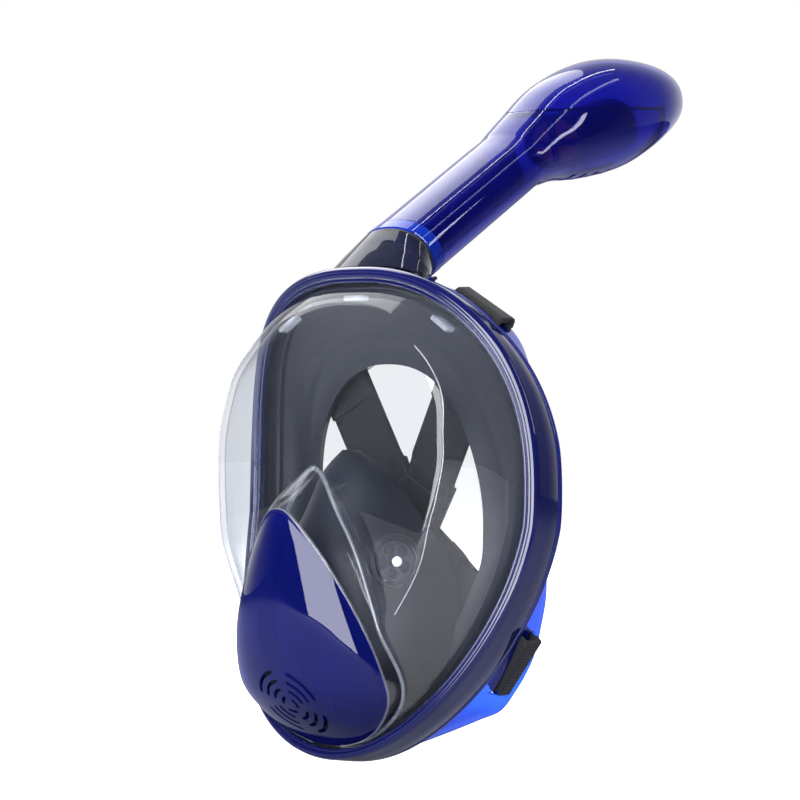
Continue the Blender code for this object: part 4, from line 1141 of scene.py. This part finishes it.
def ribbon(name, path, half_width, thick, place):
    """Woven strap along a path of (y, z) points, with its weave attribute in millimetres."""
    length = np.linalg.norm(np.diff(path, axis=0), axis=1).sum()
    path = resampled(path, max(int(length / 1.2), 8))
    along = np.gradient(path, axis=0)
    along /= np.linalg.norm(along, axis=1)[:, None]
    w, t = half_width, thick / 2
    edge = [(-w + 0.7, -t), (-w + 0.25, -t * 0.8), (-w, 0), (-w + 0.25, t * 0.8), (-w + 0.7, t)]
    top = [(x, t) for x in np.linspace(-w + 2, w - 2, 9)]
    profile = edge + top + [(-x, -h) for x, h in edge] + [(-x, -h) for x, h in top]
    sections, weave = [], []
    for (y, z), (dy, dz), s in zip(path, along, np.linspace(0, length, len(path))):
        sections.append([(x, y - dz * h, z + dy * h) for x, h in profile])
        weave += [(x, s, 0) for x, h in profile]
    weave += [(0, 0, 0), (0, length, 0)]
    made = loft(name, sections, place)
    store = made.data.attributes.new("weave", "FLOAT_VECTOR", "POINT")
    store.data.foreach_set("vector", np.array(weave, float).ravel())
    return made


def strap_place(stations, bar, side, lift):
    """Frame with X along the strap's width, Y through it and Z from its bar to the crossing."""
    middle, _ = bar_frame(stations, bar, side)
    start, end = Vector(middle) + Vector((0, lift, 0)), Vector(STRAP_CROSSING)
    along = (end - start).normalized()
    through = Vector((0, 1, 0))
    through = (through - along * through.dot(along)).normalized()
    turn = Matrix((through.cross(along), through, along)).transposed().to_4x4()
    return MASK @ Matrix.Translation(start) @ turn, (end - start).length, start - end


WEB = 1.4                       # webbing thickness
MAIN_Y, TAIL_Y = 0.82, -0.66    # middle of the strap's two layers


def build_strap(row, side, tag, stations, bar, lift, front_leg):
    place, length, away = strap_place(stations, bar, side, lift)
    end = length - PATCH_ARM
    front = -lift - front_leg
    # from the patch to the bar, round it, and back in front through the slider as the tail
    path = [(1.9, end + 12), (1.9, end + 1.5), (MAIN_Y, end - 2), (MAIN_Y, 16), (0.4, 9), (0.3, 2),
            (0.2, -2.3), (front, -2.3), (front, 4), (front + 1, 8), (TAIL_Y, 22), (TAIL_Y, SLIDER_PLACE + 22)]
    name = "%s_%s" % (row, tag)
    made = ribbon("webbing_" + name, rounded(path, 2.4), STRAP_WIDTH / 2, WEB, place)
    piece(made, "mask", WEBBING, "webbing", "strap_" + name)
    path = rounded([(0.6, 1.0), (0.7, -3.7), (front - 0.4, -3.7), (front - 0.4, 1.2)], 2.6)
    sleeve = ribbon("webbing_sleeve_" + name, path, STRAP_WIDTH / 2 + 0.4, WEB, place)
    piece(sleeve, "mask", WEBBING, "webbing")
    slide = place @ Matrix.Translation((0, 0, SLIDER_PLACE))
    body = "slider_" + name
    slider = box("fine_slider_" + name, (-19.5, -2.5, -9), (19.5, 3.6, 9), slide)
    cutters = [box("window", (-16.6, -1.4, -12), (16.6, 1.6, 12), slide)]
    cutters += [box("slot", (-16, 0, z - 2.2), (16, 5, z + 2.2), slide) for z in (-4.4, 4.4)]
    cut(slider, cutters)
    bevel(slider, 0.45, 3, 50)
    piece(slider, body, BLACK, "black_plastic", "strap_slider_" + name)
    hump = rounded([(0.8, -8.2), (1.2, -6.6), (4.5, -3.0), (4.5, 3.0), (1.2, 6.6), (0.8, 8.2)], 1.6)
    piece(ribbon("webbing_loop_" + name, hump, STRAP_WIDTH / 2 - 0.4, 1.2, slide), body, WEBBING, "webbing")
    return Vector((away.x, away.z)).normalized()


def build_patch(arms):
    """Patch that the four straps are sewn to, and its stitches."""
    half = STRAP_WIDTH / 2
    arms = sorted(arms, key=lambda arm: math.atan2(arm.y, arm.x))
    outline = []
    for arm, following in zip(arms, arms[1:] + arms[:1]):
        across = Vector((-arm.y, arm.x))
        between = (arm + following).normalized()
        notch = between * half / math.sqrt(1 - between.dot(arm) ** 2)
        outline += [arm * PATCH_ARM - across * half, arm * PATCH_ARM + across * half, notch]
    place = MASK @ Matrix.Translation(STRAP_CROSSING) @ Matrix.Rotation(math.radians(90), 4, "Z")
    patch = prism("crossing_patch", [(-p.x, p.y) for p in outline], 1.15, place)
    bevel(patch, 0.6, 3, 50)
    store = patch.data.attributes.new("weave", "FLOAT_VECTOR", "POINT")
    points = np.array([v.co for v in patch.data.vertices]) / MM
    store.data.foreach_set("vector", np.stack([points[:, 0], points[:, 2], 0 * points[:, 0]], axis=1).ravel())
    piece(patch, "mask", PATCH_CLOTH, "webbing", "strap_crossing_patch")
    verts, faces = [], []
    for arm in arms:
        across = Vector((-arm.y, arm.x))
        for reach in (PATCH_ARM - 2.5, PATCH_ARM - 10):
            for k in range(-5, 6):
                add_stitch(verts, faces, arm * reach + across * (k * 2.6), across)
        for edge in (-13.5, 13.5):
            for k in range(1, 3):
                add_stitch(verts, faces, arm * (PATCH_ARM - 2.5 - 2.5 * k) + across * edge, arm)
    stitches = mesh_object("stitches", verts, faces, MASK @ Matrix.Translation(STRAP_CROSSING))
    piece(stitches, "mask", THREAD, "webbing")


def add_stitch(verts, faces, middle, along):
    """One raised stitch on both faces of the sewn stack: a small rounded bar."""
    for back in (2.55, -1.2):
        base = len(verts)
        side = Vector((-along.y, along.x))
        for end, size in ((-0.95, 0.12), (-0.6, 0.3), (0.6, 0.3), (0.95, 0.12)):
            for u, v in ((-1, -1), (1, -1), (1, 1), (-1, 1)):
                point = middle + along * end + side * (u * size)
                verts.append((point.x, back + v * size, point.y))
        faces += grid_faces(4, 4, base) + [(base, base + 1, base + 2, base + 3),
                                           (base + 15, base + 14, base + 13, base + 12)]


def build_straps():
    arms = []
    for side, tag in SIDES:
        arms.append(build_strap("upper", side, tag, UPPER_LUG, UPPER_BAR, UPPER_LIFT, 3.8))
        arms.append(build_strap("lower", side, tag, LOWER_WING, LOWER_BAR, LOWER_LIFT, 4.3))
    build_patch(arms)


# ---- camera, floor and light ---------------------------------------------------------------------

VIEW_TURN, VIEW_ROLL = math.radians(43.5), math.radians(1.3)
TARGET, DISTANCE = Vector((0, -0.003, 0.0685)), 1.2
BACK = Vector((math.sin(VIEW_TURN), -math.cos(VIEW_TURN), 0))
RIGHT = Vector((math.cos(VIEW_TURN), math.sin(VIEW_TURN), 0))
UP = Vector((0, 0, 1))


def build_camera():
    data = bpy.data.cameras.new("camera")
    data.sensor_width = 36.0
    data.lens = 110.16
    camera = bpy.data.objects.new("camera", data)
    bpy.context.scene.collection.objects.link(camera)
    turn = Matrix((RIGHT, UP, BACK)).transposed().to_4x4() @ Matrix.Rotation(VIEW_ROLL, 4, "Z")
    camera.matrix_world = Matrix.Translation(TARGET + BACK * DISTANCE) @ turn
    bpy.context.scene.camera = camera


def area_light(name, offset, size, power, glossy=True, along=UP, look=(0, 0, 0.06)):
    """Soft box at right, up and back distances from the target, facing the object, long side along."""
    data = bpy.data.lights.new(name, "AREA")
    data.shape = "RECTANGLE"
    data.size, data.size_y = size
    data.energy = power
    light = bpy.data.objects.new(name, data)
    bpy.context.scene.collection.objects.link(light)
    place = TARGET + RIGHT * offset[0] + UP * offset[1] + BACK * offset[2]
    facing = (place - Vector(look)).normalized()
    across = Vector(along).cross(facing).normalized()
    turn = Matrix((across, facing.cross(across), facing)).transposed().to_4x4()
    light.matrix_world = Matrix.Translation(place) @ turn
    light.visible_camera = False
    light.visible_glossy = glossy
    return light


def build_studio():
    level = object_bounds()[0][2] - 0.002
    corners = [(x, y, level) for x, y in ((-4, -4), (4, -4), (4, 4), (-4, 4))]
    floor = mesh_object("floor", corners, [(0, 1, 2, 3)], Matrix.Identity(4))
    g = material("floor_pale")
    bright = g.add("BsdfPrincipled", Base_Color=(0.93, 0.93, 0.94), Roughness=0.9, Emission_Color=(1, 1, 1),
                   Emission_Strength=0.8)
    dim = g.add("BsdfDiffuse", Color=(0.24, 0.25, 0.32))
    path = g.node("LightPath").outputs
    straight = g.maths("LESS_THAN", path["Ray Depth"], g.maths("ADD", path["Transparent Depth"], 0.5))
    floor.data.materials.append(g.finish(g.mix(straight, dim, bright)))

    scene = bpy.context.scene
    g = Graph(bpy.data.worlds.new("studio"))
    dot = g.node("VectorMath")
    dot.operation = "DOT_PRODUCT"
    g.links.new(g.node("TexCoord").outputs["Generated"], dot.inputs[0])
    dot.inputs[1].default_value = BACK
    towards = g.maths("MULTIPLY_ADD", dot.outputs["Value"], 0.5, 0.5)
    shade = g.ramp(towards, (0.10, (1.0, 1.0, 1.0)), (0.30, (0.34, 0.35, 0.38)), (0.52, (0.03, 0.032, 0.04)))
    camera_ray = g.node("LightPath").outputs["Is Camera Ray"]
    seen, light = g.add("Background", Color=(1, 1, 1)), g.add("Background", Color=shade)
    scene.world = g.finish(g.mix(camera_ray, light, seen), "OutputWorld")

    area_light("key_box", (-0.95, 0.55, 0.75), (0.9, 0.9), 20.0, False)
    area_light("top_box", (0.1, 1.25, 0.1), (1.1, 0.7), 14.0, False)
    area_light("rear_fill", (0.45, 0.55, -1.3), (1.0, 1.0), 14.0, False)
    area_light("back_box", (-0.34, 1.0, -0.72), (0.9, 0.9), 8.0)
    area_light("front_box", (-0.22, 0.22, 1.0), (1.15, 0.75), 22.0)
    area_light("right_strip", (0.97, 0.40, 0.20), (0.05, 0.5), 0.8)
    tube = Vector((0, math.sin(math.radians(TUBE_TILT)), math.cos(math.radians(TUBE_TILT))))
    area_light("tube_strip", (0.0, 1.2, -0.18), (0.035, 1.4), 2.0, True, tube, (0, 0.08, 0.19))
    area_light("tube_strip_soft", (0.56, 1.05, 0.24), (0.06, 1.2), 0.9, True, tube, (0, 0.08, 0.19))
    lit = bpy.data.collections.new("lit_by_tube_strips")
    for name in ("tube_shell", "cap_shell", "fine_collar", "socket_shell"):
        lit.objects.link(bpy.data.objects[name])
    for name in ("tube_strip", "tube_strip_soft"):
        bpy.data.objects[name].light_linking.receiver_collection = lit
    scene.view_settings.view_transform = "Standard"
    scene.cycles.transparent_max_bounces = 48
    scene.cycles.max_bounces = 12


build_camera()
build_front_frame()
build_rear_frame()
build_lens()
build_lens_edges()
build_cover()
build_skirt()
build_pocket()
build_valves()
build_clips()
build_tube()
build_socket()
build_latch()
build_float()
build_straps()
build_studio()
